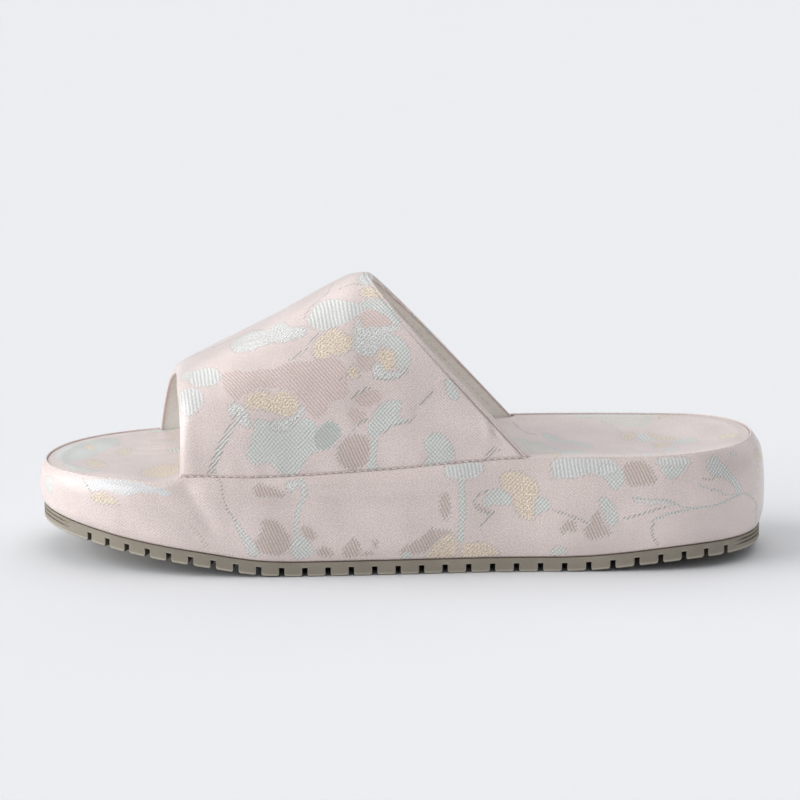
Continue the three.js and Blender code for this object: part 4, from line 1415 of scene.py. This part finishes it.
class SANDAL_OT_welt(bpy.types.Operator):
    """Lays the soft cord that closes the seam between the platform's cloth, the footbed and the band"""

    bl_idname = "sandal.welt"
    bl_label = "Seam welt"

    def execute(self, context):
        places, angle, side = round_columns(np.linspace(0, TO_HEEL, 401))
        full = fullest(angle, side)[:, 0]
        rear, front = band_ends(side)
        # Beside the band it is pulled down between the band and the platform, and only its seam shows.
        sunk = 0.45 * smooth(rear - 1, rear + 2, full) * smooth(front + 1, front - 2, full)
        middle = pucker(ring(
            angle, side, lambda x: last(x, ROLL) + SEAM_IN, lambda x: last(x, SEAM) - 0.08 - sunk,
        ))
        ahead = np.roll(middle, -1, 0) - np.roll(middle, 1, 0)
        ahead /= np.linalg.norm(ahead, axis=1, keepdims=True)
        aside = np.cross(ahead, np.array([0, 0, 1.0]))
        aside /= np.linalg.norm(aside, axis=1, keepdims=True)
        above = np.cross(aside, ahead)
        radius = context.scene.slide_sandal.welt / MM / 2
        tube = np.array([
            middle + radius * (math.cos(a) * aside + math.sin(a) * above)
            for a in np.linspace(0, 2 * np.pi, 9)[:-1]
        ])
        stack = np.concatenate([tube, tube[:1]])
        girth = np.broadcast_to(np.linspace(0, 3, len(stack))[:, None], stack.shape[:2])
        none = {kind: np.full(stack.shape[:2], FAR) for kind in KINDS}
        piece = make_piece(
            "seam_welt", centred(stack), [material_for("blush_satin_jacquard")],
            charts=corner_charts(places, girth, ROUND), values={**none, "crease": 0 * none["rib"]},
        )
        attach(piece, "root")
        return {"FINISHED"}


class SANDAL_OT_stitches(bpy.types.Operator):
    """Sews the seam round the footbed and the lining's back hem, one stitch at a time"""

    bl_idname = "sandal.stitches"
    bl_label = "Seam stitches"

    def execute(self, context):
        settings = context.scene.slide_sandal
        places, angle, side = round_columns(np.linspace(0, TO_HEEL, 241))
        seam = pucker(ring(
            angle, side, lambda x: last(x, ROLL) + SEAM_IN, lambda x: last(x, SEAM) + 0.22,
        ))
        over, inward = np.linspace(0.03, 0.97, 160), 3.6
        surface, normal = band_surface((back_x(over) + inward)[None], over[None])
        hem = (surface - normal * (BAND_WALL - 0.12))[0]
        points, edges = [], []
        for path, closed in ((seam, True), (hem, False)):
            start = len(points)
            points += list(path)
            edges += [(start + i, start + i + 1) for i in range(len(path) - 1)]
            if closed:
                edges.append((start + len(path) - 1, start))
        mesh = bpy.data.meshes.new("seam_paths")
        mesh.from_pydata((centred(np.array(points)) * MM).tolist(), edges, [])
        source = bpy.data.objects.new("seam_paths", mesh)
        context.scene.collection.objects.link(source)
        sewing = source.modifiers.new("stitches", "NODES")
        sewing.node_group = stitch_tree()
        inputs = {
            "Pitch": settings.stitch_pitch, "Length": settings.stitch_length, "Thread": settings.thread,
            "Thread finish": material_for("spun_thread"),
        }
        for item in sewing.node_group.interface.items_tree:
            if item.in_out == "INPUT" and item.name in inputs:
                sewing[item.identifier] = inputs[item.name]
        evaluated = source.evaluated_get(context.evaluated_depsgraph_get())
        sewn = bpy.data.meshes.new_from_object(evaluated)
        sewn.name = "seam_stitches"
        sewn.shade_smooth()
        bpy.data.objects.remove(source)
        piece = bpy.data.objects.new("seam_stitches", sewn)
        context.scene.collection.objects.link(piece)
        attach(piece, "root")
        return {"FINISHED"}


# Light from all round, how it grows towards the toe and overhead, and the broad lamps: name, direction to
# it, strength, width in degrees
SKY, SKY_LEAN = 0.425, (0.03, 0.0, 0.03)
LAMPS = (
    ("toe_bank", (0.93, 0.12, 0.35), 2.8, 60),
    ("back_top", (0.0, -0.7, 0.7), 0.3, 60),
    ("heel_fill", (-0.6, -0.5, 0.6), 0.35, 60),
    ("top_fill", (0.0, 0.05, 1.0), 0.15, 60),
)

# The camera that was fitted to the photograph: what it looks at and how far off it is, in metres, how many
# degrees it looks down, and how many pixels of the picture's width a millimetre takes
CAMERA_AIM, CAMERA_DISTANCE, CAMERA_ELEVATION = (0.00074, 0, 0.0545), 1.15, 12
PIXELS_PER_MM, PICTURE_WIDTH = 2.712, 800


class SANDAL_OT_stage(bpy.types.Operator):
    """Sets the pale floor, the soft studio lights and the camera at the photograph's angle"""

    bl_idname = "sandal.stage"
    bl_label = "Stage"

    def execute(self, context):
        scene = context.scene
        reach = 8.0
        corners = [(-reach, -reach, 0), (reach, -reach, 0), (reach, reach, 0), (-reach, reach, 0)]
        mesh = bpy.data.meshes.new("floor")
        mesh.from_pydata(corners, [], [(0, 1, 2, 3)])
        mesh.materials.append(material_for("matt_white_paper"))
        floor = bpy.data.objects.new("floor", mesh)
        scene.collection.objects.link(floor)

        scene.view_settings.view_transform = "Standard"
        world = bpy.data.worlds.new("studio")
        scene.world = world
        world.use_nodes = True
        world.node_tree.nodes.clear()
        tree = world.node_tree
        heading = add(tree, "ShaderNodeTexCoord").outputs["Generated"]
        towards = add(tree, "ShaderNodeVectorMath", heading, SKY_LEAN, operation="DOT_PRODUCT")
        strength = add(tree, "ShaderNodeMath", towards.outputs["Value"], SKY, operation="ADD")
        sky = add(tree, "ShaderNodeBackground", (*linear(0xF6F8FC), 1), strength)
        add(tree, "ShaderNodeOutputWorld", sky)

        for name, heading, power, spread in LAMPS:
            data = bpy.data.lights.new(name, "SUN")
            data.energy, data.angle = power, math.radians(spread)
            lamp = bpy.data.objects.new(name, data)
            lamp.rotation_euler = (-Vector(heading)).to_track_quat("-Z", "Y").to_euler()
            scene.collection.objects.link(lamp)

        elevation = math.radians(CAMERA_ELEVATION)
        back = Vector((0, math.cos(elevation), math.sin(elevation)))
        data = bpy.data.cameras.new("camera")
        data.sensor_width = 36
        data.lens = PIXELS_PER_MM * CAMERA_DISTANCE / MM * data.sensor_width / PICTURE_WIDTH
        data.clip_start, data.clip_end = 0.05, 50
        camera = bpy.data.objects.new("camera", data)
        camera.location = Vector(CAMERA_AIM) + back * CAMERA_DISTANCE
        camera.rotation_mode = "QUATERNION"
        camera.rotation_quaternion = (-back).to_track_quat("-Z", "Y")
        scene.collection.objects.link(camera)
        scene.camera = camera
        return {"FINISHED"}


class SANDAL_PT_panel(bpy.types.Panel):
    """Lists the sandal's sizes, colours and pieces"""

    bl_idname = "SANDAL_PT_panel"
    bl_label = "Slide sandal"
    bl_space_type = "VIEW_3D"
    bl_region_type = "UI"
    bl_category = "Slide sandal"

    def draw(self, context):
        settings = context.scene.slide_sandal
        for name in SlideSandalSettings.__annotations__:
            self.layout.prop(settings, name)
        for operator in OPERATORS:
            self.layout.operator(operator.bl_idname)


OPERATORS = (
    SANDAL_OT_stage, SANDAL_OT_outsole, SANDAL_OT_platform, SANDAL_OT_footbed, SANDAL_OT_band,
    SANDAL_OT_welt, SANDAL_OT_stitches,
)
CLASSES = (SlideSandalSettings, *OPERATORS, SANDAL_PT_panel)


def register():
    for made in CLASSES:
        bpy.utils.register_class(made)
    bpy.types.Scene.slide_sandal = bpy.props.PointerProperty(type=SlideSandalSettings)


def unregister():
    del bpy.types.Scene.slide_sandal
    for made in reversed(CLASSES):
        bpy.utils.unregister_class(made)


def main():
    register()
    for operator in OPERATORS:
        group, name = operator.bl_idname.split(".")
        getattr(getattr(bpy.ops, group), name)()


if __name__ == "__main__":
    main()
